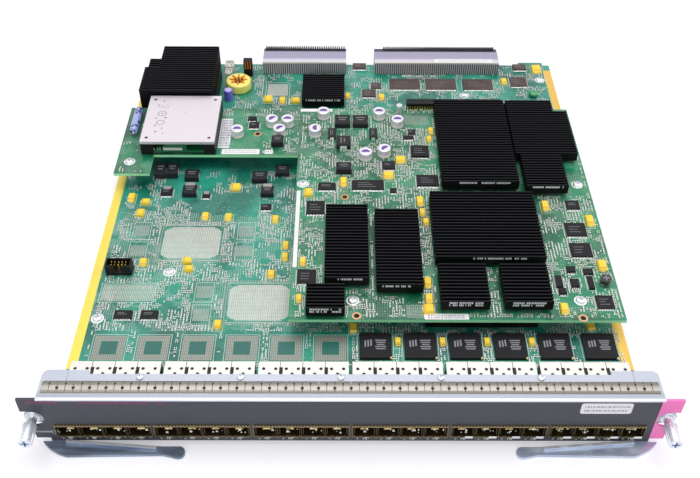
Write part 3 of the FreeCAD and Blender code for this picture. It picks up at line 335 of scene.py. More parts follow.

# %% [markdown]
# ## Paint, plastics and anodising
# The panel is powder-coated steel with a fine orange-peel, dark grey but magenta at its right end.
# Chips are black moulded epoxy, dull with a faint sparkle of filler. The heat sinks are black-anodised
# aluminium, with painted shade deep between the fins and a painted highlight along their tips.


# %% Paint and plastic materials
def moulded(name, colour, roughness, grain_mm=0.5, height_mm=0.02, spread=0.12, coat=0.0, shine=0.5):
    material, tree, shader, place = start_material(name, colour, roughness, coat=coat)
    shader.inputs["Specular IOR Level"].default_value = shine
    grained(tree, shader, place, grain_mm, height_mm, roughness, roughness + spread)
    return material


def panel_paint():
    material, tree, shader, place = start_material("powder-coated steel, two colours", "#3b3e4a", 0.42)
    axes = add_node(tree, "ShaderNodeSeparateXYZ", {"Vector": place}).outputs
    right_end = calculate(tree, "GREATER_THAN", axes["X"], at(181.3, 0, 0).x)
    cloud = mix(tree, speckle(tree, place, 30.0), "#2d303a", "#373a46")
    tree.links.new(mix(tree, right_end, cloud, "#ff80c8"), shader.inputs["Base Color"])
    grained(tree, shader, place, 0.35, 0.02, 0.36, 0.48)
    return material


def anodised(name, floor, tip):
    """Black anodised fins, with a painted highlight on their tips and painted shade at their roots."""
    material, tree, shader, place = start_material(name, "#050507", 0.5)
    axes = add_node(tree, "ShaderNodeSeparateXYZ", {"Vector": place}).outputs
    rise = add_node(tree, "ShaderNodeMapRange", {"Value": axes["Z"], "From Min": floor, "From Max": tip})
    # painted highlight towards the fin tips, painted shade at their roots
    edge = calculate(tree, "POWER", rise.outputs[0], 6.0)
    tree.links.new(mix(tree, edge, "#020203", "#0d0e15"), shader.inputs["Base Color"])
    shader.inputs["Specular IOR Level"].default_value = 0.16
    grained(tree, shader, place, 0.5, 0.01, 0.42, 0.56)
    return material


panel_coat = panel_paint()


def chip_material():
    """Black moulded epoxy. The memory chips at the rear come from another maker and are browner."""
    material, tree, shader, place = start_material("black moulded epoxy", "#141216", 0.55)
    axes = add_node(tree, "ShaderNodeSeparateXYZ", {"Vector": place}).outputs
    rear = calculate(tree, "GREATER_THAN", axes["Y"], at(0, 345, 0).y)
    brown = mix(tree, speckle(tree, place, 12.0), "#3b3030", "#6a5b58")
    tree.links.new(mix(tree, rear, "#141216", brown), shader.inputs["Base Color"])
    shader.inputs["Specular IOR Level"].default_value = 0.25
    grained(tree, shader, place, 0.3, 0.02, 0.55, 0.67)
    return material


chip_epoxy = chip_material()
black_nylon = moulded("black glass-filled nylon", "#0c0c0f", 0.42, shine=0.25)
white_nylon = moulded("white nylon", "#e9e6df", 0.4)
ferrite = moulded("pressed ferrite", "#1d1d22", 0.5, 0.5, 0.05, shine=0.25)
tantalum_resin = moulded("yellow tantalum resin", "#ffdb44", 0.38, 0.6)
tantalum_stripe = moulded("polarity stripe ink", "#e09c2a", 0.45)
can_sleeve = plated("bare aluminium can", "#e6e3ec", 0.36, 0.8, 0.5)
can_mark = moulded("violet printing ink", "#6a489c", 0.4)
radial_sleeve = moulded("violet heat-shrink sleeve", "#7c6aea", 0.28, coat=0.4)
core_coat = moulded("yellow epoxy core coating", "#fff27c", 0.3, 1.2, 0.05, coat=0.3)


def film_wrap_material():
    """A pale blue film, blotched in dark blue where its printing runs round the roll."""
    material, tree, shader, place = start_material("blue polyester film wrap", "#a5b2ea", 0.28, coat=0.5)
    cells = add_node(tree, "ShaderNodeTexVoronoi", {"Vector": place, "Scale": 1 / (3.4 * MM)})
    print_here = calculate(tree, "LESS_THAN", cells.outputs["Distance"], 0.46)
    some = calculate(tree, "GREATER_THAN", speckle(tree, place, 5.0, 1.0), 0.42)
    blotches = calculate(tree, "MULTIPLY", print_here, some)
    tree.links.new(mix(tree, blotches, "#a5b2ea", "#353a7c"), shader.inputs["Base Color"])
    return material


film_wrap = film_wrap_material()
label_stock = moulded("white polyester label", "#f3f2f4", 0.36)
print_ink = moulded("grey label ink", "#a5a4b2", 0.5)
white_ink = moulded("white marking ink", "#e8ebea", 0.5)
red_ink = moulded("dull magenta marking ink", "#74395c", 0.5)
mask_patch = moulded("solder mask window", "#246a60", 0.35)
resistor_body = moulded("glazed ruthenium film", "#101114", 0.35)
ceramic_body = moulded("barium titanate ceramic", "#8d7c64", 0.45)
led_lens = moulded("clear green lens", "#5fae6a", 0.25, coat=0.5)


def wafer_material():
    """Grey plastic, whose tops carry a painted highlight in the middle and are darker at the rear, behind the
    latch ridge.
    """
    material, tree, shader, place = start_material("grey liquid-crystal polymer", "#a9a5b8", 0.42)
    back = add_node(tree, "ShaderNodeSeparateXYZ", {"Vector": place}).outputs["Y"]
    # painted highlight across the middle of the tops
    painted_middle_highlight = add_node(tree, "ShaderNodeMapRange", {"Value": back, "From Min": at(0, 386, 0).y,
                                                  "From Max": at(0, 390, 0).y})
    darker = add_node(tree, "ShaderNodeMapRange", {"Value": back, "From Min": at(0, 391.5, 0).y,
                                                   "From Max": at(0, 395.5, 0).y})
    colour = mix(tree, painted_middle_highlight.outputs[0], "#c6c1d6", "#e2deec")
    tree.links.new(mix(tree, darker.outputs[0], colour, "#aca6c0"), shader.inputs["Base Color"])
    grained(tree, shader, place, 0.5, 0.02, 0.4, 0.5)
    return material


wafer_plastic = wafer_material()
print("paints and plastics ready")

# %% [markdown]
# ## Handing pieces to the frame
# A piece that is made here must say which body of the card it moves with, and which plain piece of the
# frame it takes the place of. One small function does both.
# Two more build meshes: one from lists of corners and faces, and one that runs a geometry node tree once
# and keeps its result as an ordinary mesh.


# %% Piece helpers
def keep(piece, body="card", instead_of=()):
    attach(piece, body)
    if instead_of:
        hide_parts(*instead_of)
    print("%-26s %6d faces" % (piece.name, len(piece.data.polygons)))
    return piece


def new_piece(name, mesh, *materials):
    piece = bpy.data.objects.new(name, mesh)
    scene.collection.objects.link(piece)
    for material in materials:
        mesh.materials.append(material)
    return piece


def mesh_of(name, corners, faces, smooth=False):
    mesh = bpy.data.meshes.new(name)
    mesh.from_pydata([tuple(c) for c in corners], [], faces)
    mesh.polygons.foreach_set("use_smooth", [smooth] * len(mesh.polygons))
    mesh.update()
    return mesh


def new_tree(name, **sockets):
    """An empty geometry tree with its named inputs. Each is given as its socket kind and its default."""
    tree = bpy.data.node_groups.new(name, "GeometryNodeTree")
    tree.interface.new_socket("Geometry", in_out="OUTPUT", socket_type="NodeSocketGeometry")
    tree.interface.new_socket("Geometry", in_out="INPUT", socket_type="NodeSocketGeometry")
    for label, (kind, default) in sockets.items():
        socket = tree.interface.new_socket(label, in_out="INPUT", socket_type="NodeSocket" + kind)
        if default is not None:
            socket.default_value = default
    return tree, tree.nodes.new("NodeGroupInput").outputs


def end_tree(tree, geometry, *finishes):
    """Makes the instances real and paints them. A finish may be limited to faces marked by a name."""
    real = add_node(tree, "GeometryNodeRealizeInstances", {"Geometry": geometry}).outputs[0]
    for material, mark in finishes:
        inputs = {"Geometry": real, "Material": material}
        if mark:
            inputs["Selection"] = add_node(tree, "GeometryNodeInputNamedAttribute", {"Name": mark},
                                           data_type="BOOLEAN").outputs["Attribute"]
        real = add_node(tree, "GeometryNodeSetMaterial", inputs).outputs[0]
    out = tree.nodes.new("NodeGroupOutput")
    tree.links.new(real, out.inputs[0])


def grow(name, tree, base=None, **values):
    """Runs a geometry tree on a base mesh and keeps what it makes."""
    source = bpy.data.objects.new(name + ".source", base or bpy.data.meshes.new(name + ".source"))
    scene.collection.objects.link(source)
    modifier = source.modifiers.new("grow", "NODES")
    modifier.node_group = tree
    for item in tree.interface.items_tree:
        if item.in_out == "INPUT" and item.name in values:
            modifier[item.identifier] = values[item.name]
    evaluated = source.evaluated_get(bpy.context.evaluated_depsgraph_get())
    mesh = bpy.data.meshes.new_from_object(evaluated)
    bpy.data.objects.remove(source)
    return new_piece(name, mesh)


def solids_of(node):
    """The separate solids of one piece of the frame, as pairs of low and high corners on the drawing."""
    shape = bmesh.new()
    shape.from_mesh(nodes[node].data)
    bmesh.ops.remove_doubles(shape, verts=shape.verts, dist=0.001 * MM)
    found = []
    waiting = set(shape.verts)
    while waiting:
        group = [waiting.pop()]
        for vertex in group:
            for edge in vertex.link_edges:
                other = edge.other_vert(vertex)
                if other in waiting:
                    waiting.remove(other)
                    group.append(other)
        places = [drawn(v.co) for v in group]
        low = Vector([min(p[i] for p in places) for i in range(3)])
        high = Vector([max(p[i] for p in places) for i in range(3)])
        found.append((low, high))
    shape.free()
    found.sort(key=lambda box: (round(box[0].z, 1), round(box[0].y, 1), round(box[0].x, 1)))
    return found


def points_mesh(name, places, **attributes):
    """Loose points on the drawing, with named values for a geometry tree to read."""
    mesh = mesh_of(name, [at(*p) for p in places], [])
    for label, values in attributes.items():
        kind = "FLOAT_VECTOR" if hasattr(values[0], "__len__") else "FLOAT"
        layer = mesh.attributes.new(label, kind, "POINT")
        if kind == "FLOAT":
            layer.data.foreach_set("value", values)
        else:
            layer.data.foreach_set("vector", [c for v in values for c in v])
    return mesh


for crowd in ("logic_chips", "phy_chips", "tantalum_capacitors"):
    print(crowd, len(solids_of(crowd)), "solids")

# %% [markdown]
# ## Finishes for the frame's own pieces
# Most pieces are already the right shape. They only change their plain colour for a real finish.

# %% Dress the frame
module_mask = moulded("dark green solder mask", "#0f5f38", 0.35)
finish_of = {
    "front_panel": panel_coat, "carrier_rail": zinc_sheet, "finger_strip": tin_shade,
    "cage_collars": bronze, "port_sockets": black_nylon, "main_board": main_mask,
    "daughter_board": upper_mask, "standoffs": nickel, "stack_connector": black_nylon,
    "phy_chips": chip_epoxy, "logic_chips": chip_epoxy, "sink_packages": chip_epoxy,
    "pin_header": black_nylon, "contact_pins": gold_plate, "rear_block": black_nylon,
    "white_connectors": white_nylon, "rear_power_module": black_nylon, "brick_plate": baseplate,
    "brick_blocks": black_nylon, "brick_board": module_mask, "lever_left": lever_shaded,
    "lever_right": lever_lit, "lever_pins": nickel, "ferrules": nickel,
    "backplane_wafers_left": wafer_plastic, "backplane_wafers_right": wafer_plastic,
}
for number in range(1, 7):
    finish_of["port_cage_%d" % number] = cage_steel
for side in ("left", "right"):
    finish_of["retaining_clip_" + side] = nickel
    finish_of["screw_spring_" + side] = nickel
shell_plastic = moulded("dark grey liquid-crystal polymer", "#45424f", 0.45)
finish_of["backplane_shell_left"] = finish_of["backplane_shell_right"] = shell_plastic
for node in nodes:
    if "sink" in node and node != "sink_packages":
        low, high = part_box(node)
        finish_of[node] = anodised("black anodised aluminium, " + node, low[2], high[2])


def dress(node, material):
    for slot in nodes[node].material_slots:
        slot.material = material


for node, material in finish_of.items():
    dress(node, material)
print("dressed", len(finish_of), "of", len(nodes), "pieces")

# %% [markdown]
# ## One stamp for everything small
# Hundreds of small things on this card are one shape repeated: yellow capacitors, cans, pads, printed
# bars. They share one geometry tree, a stamp. It reads loose points, each with its own size and turn,
# puts the shape on every one, makes the copies real, and paints them. Faces of the shape that carry a
# mark, such as the tin ends, get the second or the third finish.


# %% The stamp
def attribute(tree, name, kind):
    return result(add_node(tree, "GeometryNodeInputNamedAttribute", {"Name": name}, data_type=kind))


def stamp_tree():
    tree, given = new_tree("stamp", Shape=("Object", None), Finish=("Material", None),
                           Tin=("Material", None), Print=("Material", None))
    shape = add_node(tree, "GeometryNodeObjectInfo", {"Object": given["Shape"]})
    turn = result(add_node(tree, "ShaderNodeCombineXYZ", {"Z": attribute(tree, "turn", "FLOAT")}))
    copies = result(add_node(tree, "GeometryNodeInstanceOnPoints", {
        "Points": given["Geometry"], "Instance": shape.outputs["Geometry"], "Rotation": turn,
        "Scale": attribute(tree, "size", "FLOAT_VECTOR")}))
    end_tree(tree, copies, (given["Finish"], None), (given["Tin"], "tin"), (given["Print"], "print"))
    return tree


stamp = stamp_tree()


def shape_of(name, *parts):
    """One shape from several lists of corners and faces, each with the mark that its faces carry."""
    corners, faces, marks = [], [], []
    for part_corners, part_faces, mark in parts:
        faces += [[i + len(corners) for i in face] for face in part_faces]
        corners += part_corners
        marks += [mark] * len(part_faces)
    mesh = mesh_of(name, corners, faces)
    for mark in ("tin", "print"):
        layer = mesh.attributes.new(mark, "BOOLEAN", "FACE")
        layer.data.foreach_set("value", [m == mark for m in marks])
    return bpy.data.objects.new(name, mesh)


BOX_FACES = [(0, 1, 3, 2), (4, 6, 7, 5), (0, 4, 5, 1), (2, 3, 7, 6), (0, 2, 6, 4), (1, 5, 7, 3)]


def slab(low, high, mark=None, taper=0.0):
    """A box between two corners. A taper draws its top in by that share of its size."""
    corners = []
    for x in (0, 1):
        for y in (0, 1):
            for z in (0, 1):
                share = [taper + (1 - 2 * taper) * c if z else c for c in (x, y)]
                corners.append((low[0] + (high[0] - low[0]) * share[0],
                                low[1] + (high[1] - low[1]) * share[1],
                                low[2] + (high[2] - low[2]) * z))
    return corners, BOX_FACES, mark


def turned(profile, sides, mark=None, ripple=None):
    """A form turned about Z from (radius, height) pairs, bottom first. Ends are closed."""
    corners, faces = [], []
    for radius, height in profile:
        for k in range(sides):
            angle = 2 * math.pi * k / sides
            r = radius + (ripple(angle, radius, height) if ripple else 0)
            corners.append((r * math.cos(angle), r * math.sin(angle), height))
    for level in range(len(profile) - 1):
        for k in range(sides):
            a, b = level * sides + k, level * sides + (k + 1) % sides
            faces.append((a, b, b + sides, a + sides))
    faces.append(tuple(reversed(range(sides))))
    faces.append(tuple(range((len(profile) - 1) * sides, len(profile) * sides)))
    return corners, faces, mark


def flat(points, mark=None):
    """One flat face, seen from above."""
    return [(x, y, 0.0) for x, y in points], [tuple(range(len(points)))], mark


def ring_face(inner, outer, sides, mark=None):
    corners, faces = [], []
    for radius in (inner, outer):
        corners += [(radius * math.cos(2 * math.pi * k / sides), radius * math.sin(2 * math.pi * k / sides),
                     0.0) for k in range(sides)]
    for k in range(sides):
        n = (k + 1) % sides
        faces.append((k, k + sides, n + sides, n))
    return corners, faces, mark


def stamped(name, shape, places, sizes, turns=None, finish=None, tin=None, printed=None):
    """Stamps a shape on places of the drawing. Sizes are in mm: one for each place, or one for all."""
    if isinstance(sizes, tuple):
        sizes = [sizes] * len(places)
    turns = turns or [0.0] * len(places)
    base = points_mesh(name, places, size=[[c * MM for c in s] for s in sizes], turn=turns)
    return grow(name, stamp, base, Shape=shape, Finish=finish, Tin=tin or finish, Print=printed or finish)


# every stamp is one unit wide, so its scale can be given as a size in mm
half = 0.5
square = shape_of("square", flat([(-half, -half), (half, -half), (half, half), (-half, half)]))
disc = shape_of("disc", flat([(half * math.cos(k * math.pi / 8), half * math.sin(k * math.pi / 8))
                              for k in range(16)]))
wide_ring = shape_of("ring", ring_face(0.30, half, 20))
thin_ring = shape_of("thin ring", ring_face(0.42, half, 24))
block = shape_of("block", slab((-half, -half, 0.0), (half, half, 1.0)))
print("stamp shapes ready")

# %% [markdown]
# ## Yellow tantalum capacitors
# A tantalum capacitor is moulded in a soft yellow resin. Its top edges are bevelled, a darker stripe
# marks the positive end, and a tin tab folds under each end. One shape is stretched over each plain
# block of the frame, turned so that its stripe lies across the short side.

# %% Tantalum capacitors
tantalum_shape = shape_of(
    "tantalum",
    slab((-0.46, -0.5, 0.0), (0.46, 0.5, 0.62)),
    slab((-0.46, -0.5, 0.62), (0.46, 0.5, 1.0), taper=0.09),
    slab((-0.33, -0.41, 0.99), (-0.24, 0.41, 1.003), "print"),
    slab((-0.5, -0.28, 0.0), (-0.46, 0.28, 0.5), "tin"),
    slab((0.46, -0.28, 0.0), (0.5, 0.28, 0.5), "tin"))


def over_blocks(boxes):
    """Places, sizes and turns that lay a long shape over each box."""
    places, sizes, turns = [], [], []
    for low, high in boxes:
        size = high - low
        lengthwise = size.y > size.x
        places.append(middle_of(low, high))
        sizes.append((size.y, size.x, size.z) if lengthwise else (size.x, size.y, size.z))
        turns.append(math.pi / 2 if lengthwise else 0.0)
    return places, sizes, turns


keep(stamped("tantalums", tantalum_shape, *over_blocks(solids_of("tantalum_capacitors")),
             finish=tantalum_resin, tin=solder_tin, printed=tantalum_stripe),
     instead_of=["tantalum_capacitors"])

# %% [markdown]
# ## Power inductors
# The square power inductors are pressed ferrite with slightly drawn-in tops and a printed value. The
# round one beside the daughter board's edge is a drum, wound on a spool and glossy with varnish.

# %% Inductors
inductor_shape = shape_of(
    "inductor", slab((-0.5, -0.5, 0.0), (0.5, 0.5, 0.82)),
    slab((-0.5, -0.5, 0.82), (0.5, 0.5, 1.0), taper=0.05),
    slab((-0.3, 0.12, 0.995), (0.3, 0.22, 1.004), "print"),
    slab((-0.22, -0.12, 0.995), (0.22, -0.02, 1.004), "print"),
    slab((-0.515, -0.25, 0.0), (-0.5, 0.25, 0.7), "tin"), slab((0.5, -0.25, 0.0), (0.515, 0.25, 0.7), "tin"))
inductor_boxes = solids_of("inductors")
drum_box = max(inductor_boxes, key=lambda box: box[0].x)
inductor_boxes.remove(drum_box)
inductor_print = moulded("faint grey ink", "#6d6e74", 0.5)
places, sizes, turns = over_blocks(inductor_boxes)
# three more stand under the daughter board's rear arm, black parts made large enough to fill in painted shade
foot = inductor_boxes[0][0].z
places += [(-149.6, 245.0, foot), (-140.2, 245.6, foot), (-53.5, 247.0, foot)]
sizes += [(8.6, 13.0, 6.4), (8.6, 12.0, 6.4), (11.0, 10.0, 5.0)]
turns += [0.0, 0.0, 0.0]
drum_shape = shape_of("drum", turned([(0.5, 0.0), (0.5, 0.16), (0.43, 0.22), (0.43, 0.70), (0.5, 0.78),
                                      (0.5, 0.94), (0.44, 1.0)], 24),
                      slab((-0.3, -0.04, 0.99), (0.3, 0.04, 1.004), "print"),
                      slab((-0.04, -0.3, 0.99), (0.04, 0.3, 1.004), "print"))
varnished = moulded("varnished drum core", "#17171b", 0.16, coat=0.6)
keep(stamped("drum_inductor", drum_shape, [middle_of(*drum_box)], tuple(drum_box[1] - drum_box[0]),
             finish=varnished, printed=print_ink))
keep(stamped("power_inductors", inductor_shape, places, sizes, turns, ferrite, solder_tin, inductor_print),
     instead_of=["inductors"])

# %% [markdown]
# ## Aluminium can capacitors
# Each can is a drawn aluminium cup, necked near its foot where it is crimped on the seal, standing on a
# round moulded base. A violet half-moon printed on the top marks the negative lead. The cans are placed
# by machine, so the half-moons point in only a few directions.

# %% Can capacitors
def half_moon(radius, height):
    arc = [math.radians(a) for a in range(0, 181, 12)]
    return ([(radius * math.cos(a), radius * (math.sin(a) - 0.4), height) for a in arc],
            [tuple(range(len(arc)))])


moon_corners, moon_faces = half_moon(0.34, 0.99)
can_shape = shape_of(
    "can",
    turned([(0.44, 0.20), (0.52, 0.36), (0.52, 0.91), (0.50, 0.97), (0.46, 1.0), (0.42, 1.0),
            (0.405, 0.985)], 32),
    (moon_corners, moon_faces, "print"),
    turned([(0.52, 0.0), (0.52, 0.20), (0.49, 0.24)], 32, "tin"))
can_boxes = solids_of("can_capacitors")
can_bases = [box for box in can_boxes if box[1].z - box[0].z < 2.0]
can_tops = [box for box in can_boxes if box[1].z - box[0].z >= 2.0]
can_height = can_tops[0][1].z - can_bases[0][0].z
places = [middle_of(*box) for box in can_bases]
sizes = [(high.x - low.x, high.y - low.y, can_height) for low, high in can_bases]
direction = random.Random(4)
turns = [direction.choice((0, 0.25, 0.5)) * math.pi for _ in places]
keep(stamped("aluminium_cans", can_shape, places, sizes, turns, can_sleeve, white_nylon, can_mark),
     instead_of=["can_capacitors"])

# %% [markdown]
# ## Capacitors on leads
# The tall violet capacitor is an aluminium can in a heat-shrink sleeve, which curls over its top edge
# and leaves a pale disc. The green one is a dipped ceramic disc lying flat. The pale blue one on the
# board's left edge is a rolled film capacitor, whose printed wrap is blotched in dark blue.

# %% Leaded capacitors
leaded = solids_of("leaded_capacitors")
bulk_low, bulk_high = max(leaded, key=lambda box: box[1].z - box[0].z)
disc_low, disc_high = min(leaded, key=lambda box: box[1].z - box[0].z)
bulk_shape = shape_of("bulk", turned([(0.48, 0.0), (0.5, 0.02), (0.5, 0.09), (0.47, 0.12), (0.5, 0.15),
                                      (0.5, 0.95), (0.47, 0.985), (0.40, 0.985)], 32),
                      turned([(0.39, 0.97), (0.39, 1.0), (0.36, 1.002)], 32, "print"))
lavender_top = plated("bare can top", "#cbc2f2", 0.3, 0.5, 0.3)
dipped = moulded("green dipped ceramic", "#37a060", 0.3, coat=0.4)
disc_shape = shape_of("dipped disc", turned([(0.30, 0.0), (0.46, 0.2), (0.5, 0.5), (0.44, 0.8), (0.25, 1.0)],
                                            24))

keep(stamped("bulk_capacitor", bulk_shape, [middle_of(bulk_low, bulk_high)], [tuple(bulk_high - bulk_low)],
             finish=radial_sleeve, printed=lavender_top), instead_of=["leaded_capacitors"])
keep(stamped("disc_capacitor", disc_shape, [middle_of(disc_low, disc_high)], [tuple(disc_high - disc_low)],
             finish=dipped))

axial_low, axial_high = drawn_box("axial_capacitor")
axial_shape = shape_of(
    "axial", turned([(0.30, -0.42), (0.44, -0.41), (0.5, -0.38), (0.5, 0.38), (0.44, 0.41), (0.30, 0.42)],
                    28),
    turned([(0.07, -0.5), (0.07, -0.41)], 10, "tin"), turned([(0.07, 0.41), (0.07, 0.5)], 10, "tin"))
axial_size = axial_high - axial_low
film = stamped("film_capacitor", axial_shape, [(0, 0, 0)], (axial_size.x, axial_size.x, axial_size.y),
               finish=film_wrap, tin=solder_tin)
# it is made standing at the drawing's origin, and then laid down at its place
axial_x, axial_y, _ = middle_of(axial_low, axial_high)
centre = at(axial_x, axial_y, axial_high.z - axial_size.x / 2)
film.data.transform(Matrix.Translation(centre) @ Matrix.Rotation(math.pi / 2, 4, "X")
                    @ Matrix.Translation(-at(0, 0, 0)))
keep(film, instead_of=["axial_capacitor"])

# %% [markdown]
# ## The toroidal choke
# A ring core is coated in yellow epoxy and wound through its hole with thick enamelled wire. The wire
# follows the core's own section, so each turn is a rounded loop, repeated round the ring by a tree.


# %% Choke
def winding_tree():
    tree, given = new_tree("winding", Turns=("Int", 12), Ring=("Float", 0.008), Width=("Float", 0.007),
                           Height=("Float", 0.009), Wire=("Float", 0.0006), Finish=("Material", None))
    loop = result(add_node(tree, "GeometryNodeCurvePrimitiveQuadrilateral",
                           {"Width": given["Width"], "Height": given["Height"]}, mode="RECTANGLE"))
    corner = calculate(tree, "MULTIPLY", given["Width"], 0.3)
    loop = result(add_node(tree, "GeometryNodeFilletCurve", {"Curve": loop, "Radius": corner,
                                                             "Count": 4}, mode="POLY"))
    wire = result(add_node(tree, "GeometryNodeCurvePrimitiveCircle", {"Resolution": 8,
                                                                      "Radius": given["Wire"]}))
    turn = result(add_node(tree, "GeometryNodeCurveToMesh", {"Curve": loop, "Profile Curve": wire}))
    stood = result(add_node(tree, "GeometryNodeTransform", {"Geometry": turn,
                                                            "Rotation": (math.pi / 2, 0, 0)}))
    circle = result(add_node(tree, "GeometryNodeCurvePrimitiveCircle", {"Resolution": given["Turns"],
                                                                        "Radius": given["Ring"]}))
    outward = result(add_node(tree, "GeometryNodeInputPosition"))
    facing = result(add_node(tree, "FunctionNodeAlignRotationToVector", {"Vector": outward}, axis="X",
                             pivot_axis="Z"))
    loops = result(add_node(tree, "GeometryNodeInstanceOnPoints",
                            {"Points": circle, "Instance": stood, "Rotation": facing}))
    end_tree(tree, loops, (given["Finish"], None))
    return tree


core_low, core_high = drawn_box("choke_core")
core_radius = (core_high.x - core_low.x) / 2
core_height = core_high.z - core_low.z
hole_radius = 0.38 * core_radius
core_x, core_y, core_foot = middle_of(core_low, core_high)
core_centre = at(core_x, core_y, core_foot + core_height / 2)


def ring_core(inner, outer, height, sides=48, steps=10):
    """A ring with a rounded section, turned about Z and centred on the origin."""
    corners, faces = [], []
    middle, reach = (inner + outer) / 2, (outer - inner) / 2
    for k in range(sides):
        angle = 2 * math.pi * k / sides
        for j in range(4 * steps):
            t = 2 * math.pi * j / (4 * steps)
            bulge = [math.copysign(abs(c) ** 0.45, c) for c in (math.cos(t), math.sin(t))]
            r = middle + reach * bulge[0]
            corners.append((r * math.cos(angle), r * math.sin(angle), height / 2 * bulge[1]))
    count = 4 * steps
    for k in range(sides):
        for j in range(count):
            a, b = k * count + j, k * count + (j + 1) % count
            c, d = ((k + 1) % sides) * count + (j + 1) % count, ((k + 1) % sides) * count + j
            faces.append((a, d, c, b))
    return corners, faces


wire_radius = 0.75
corners, faces = ring_core(hole_radius * MM, core_radius * MM, core_height * MM)
core = new_piece("ring_core", mesh_of("ring core", [core_centre + Vector(c) for c in corners], faces, True),
                 core_coat)
keep(core, instead_of=["choke_core"])
reach = core_radius * 0.62 - hole_radius
loops = grow("choke_turns", winding_tree(), Turns=8, Ring=(hole_radius + reach / 2) * MM,
             Width=(reach + wire_radius) * MM, Height=(core_height + 2 * wire_radius * 0.8) * MM,
             Wire=wire_radius * MM, Finish=winding_copper)
loops.data.transform(Matrix.Translation(core_centre + Vector((0, 0, wire_radius * 0.2 * MM))))
keep(loops, instead_of=["choke_winding"])

# %% [markdown]
# ## Screws
# Pan-head screws hold the boards and the contact strip. A head is a low dome, and its cross recess is
# cut by a boolean with two crossed bars. The geometry tree cuts one head and repeats it.


# %% Cross-recessed screws
def screw_tree():
    tree, given = new_tree("cross-recessed screw", Radius=("Float", 0.003), Head=("Float", 0.0015),
                           Reach=("Float", 0.003), Dome=("Object", None), Finish=("Material", None))
    dome = add_node(tree, "GeometryNodeObjectInfo", {"Object": given["Dome"]}).outputs["Geometry"]
    scale = add_node(tree, "ShaderNodeCombineXYZ", {"X": given["Radius"], "Y": given["Radius"],
                                                    "Z": given["Head"]})
    head = result(add_node(tree, "GeometryNodeTransform", {"Geometry": dome, "Scale": result(scale)}))
    long_way = calculate(tree, "MULTIPLY", given["Radius"], 1.15)
    across = calculate(tree, "MULTIPLY", given["Radius"], 0.26)
    deep = calculate(tree, "MULTIPLY", given["Head"], 1.3)
    bars = []
    for x, y in ((long_way, across), (across, long_way)):
        size = add_node(tree, "ShaderNodeCombineXYZ", {"X": x, "Y": y, "Z": deep})
        cube = result(add_node(tree, "GeometryNodeMeshCube", {"Size": result(size)}))
        raised = add_node(tree, "ShaderNodeCombineXYZ", {"Z": given["Head"]})
        bars.append(result(add_node(tree, "GeometryNodeTransform", {"Geometry": cube,
                                                                    "Translation": result(raised)})))
    cutter = tree.nodes.new("GeometryNodeMeshBoolean")
    cutter.operation = "DIFFERENCE"
    tree.links.new(head, cutter.inputs["Mesh 1"])
    for bar in bars:
        tree.links.new(bar, cutter.inputs["Mesh 2"])
    shank_radius = calculate(tree, "MULTIPLY", given["Radius"], 0.45)
    shank = result(add_node(tree, "GeometryNodeMeshCylinder", {"Vertices": 12, "Radius": shank_radius,
                                                               "Depth": given["Reach"]}))
    below = add_node(tree, "ShaderNodeCombineXYZ", {"Z": calculate(tree, "MULTIPLY", given["Reach"], -0.5)})
    shank = result(add_node(tree, "GeometryNodeTransform", {"Geometry": shank, "Translation": result(below)}))
    whole = tree.nodes.new("GeometryNodeJoinGeometry")
    tree.links.new(cutter.outputs["Mesh"], whole.inputs[0])
    tree.links.new(shank, whole.inputs[0])
    turn = result(add_node(tree, "ShaderNodeCombineXYZ", {"Z": attribute(tree, "turn", "FLOAT")}))
    screws = result(add_node(tree, "GeometryNodeInstanceOnPoints", {
        "Points": given["Geometry"], "Instance": whole.outputs[0], "Rotation": turn}))
    end_tree(tree, screws, (given["Finish"], None))
    return tree


dome_shape = shape_of("dome", turned([(1.0, 0.0), (1.0, 0.35), (0.93, 0.62), (0.78, 0.82), (0.55, 0.95),
                                      (0.3, 1.0)], 28))
screws = screw_tree()


def screw_heads(name, node, head_height, finish, seed):
    boxes = solids_of(node)
    turns = random.Random(seed)
    base = points_mesh(name, [((a.x + b.x) / 2, (a.y + b.y) / 2, b.z - head_height) for a, b in boxes],
                       turn=[turns.uniform(0, math.pi) for _ in boxes])
    low, high = boxes[0]
    piece = grow(name, screws, base, Radius=(high.x - low.x) / 2 * MM, Head=head_height * MM,
                 Reach=(high.z - low.z - head_height) * MM, Dome=dome_shape, Finish=finish)
    keep(piece, instead_of=[node])


screw_heads("board_screw_heads", "board_screws", 2.0, nickel, 11)
screw_heads("rail_screw_heads", "rail_screws", 1.8, nickel, 12)

# %% [markdown]
# ## Captive screws
# Each captive screw is turned from brass and nickel-plated. Its knob is straight-knurled for fingers,
# and a cross recess in the end takes a driver. The shank is threaded. A turned form takes the knurl and
# the thread as ripples of its radius, and a boolean cuts the recess.


# %% Captive screws
KNURLS = 30
THREAD_MM = 0.8
KNOB_LENGTH, HOLLOW_FLOOR, HOLLOW_RADIUS = 13.4, 7.6, 3.3
GRIP_FROM, KNOB_FRONT, KNOB_REAR = 4.0, 0.85, KNOB_LENGTH - 0.75


def knurl(angle, radius, height):
    """Straight teeth along the grip only: the front face, the rim and the hollow stay smooth."""
    if radius < GRIP_FROM or not KNOB_FRONT < height < KNOB_REAR:
        return 0.0
    return radius * 0.045 * (1 if math.sin(KNURLS * angle) > 0 else -1)


def thread(angle, radius, height):
    share = (height / THREAD_MM - angle / (2 * math.pi)) % 1
    return -0.32 * abs(2 * share - 1)


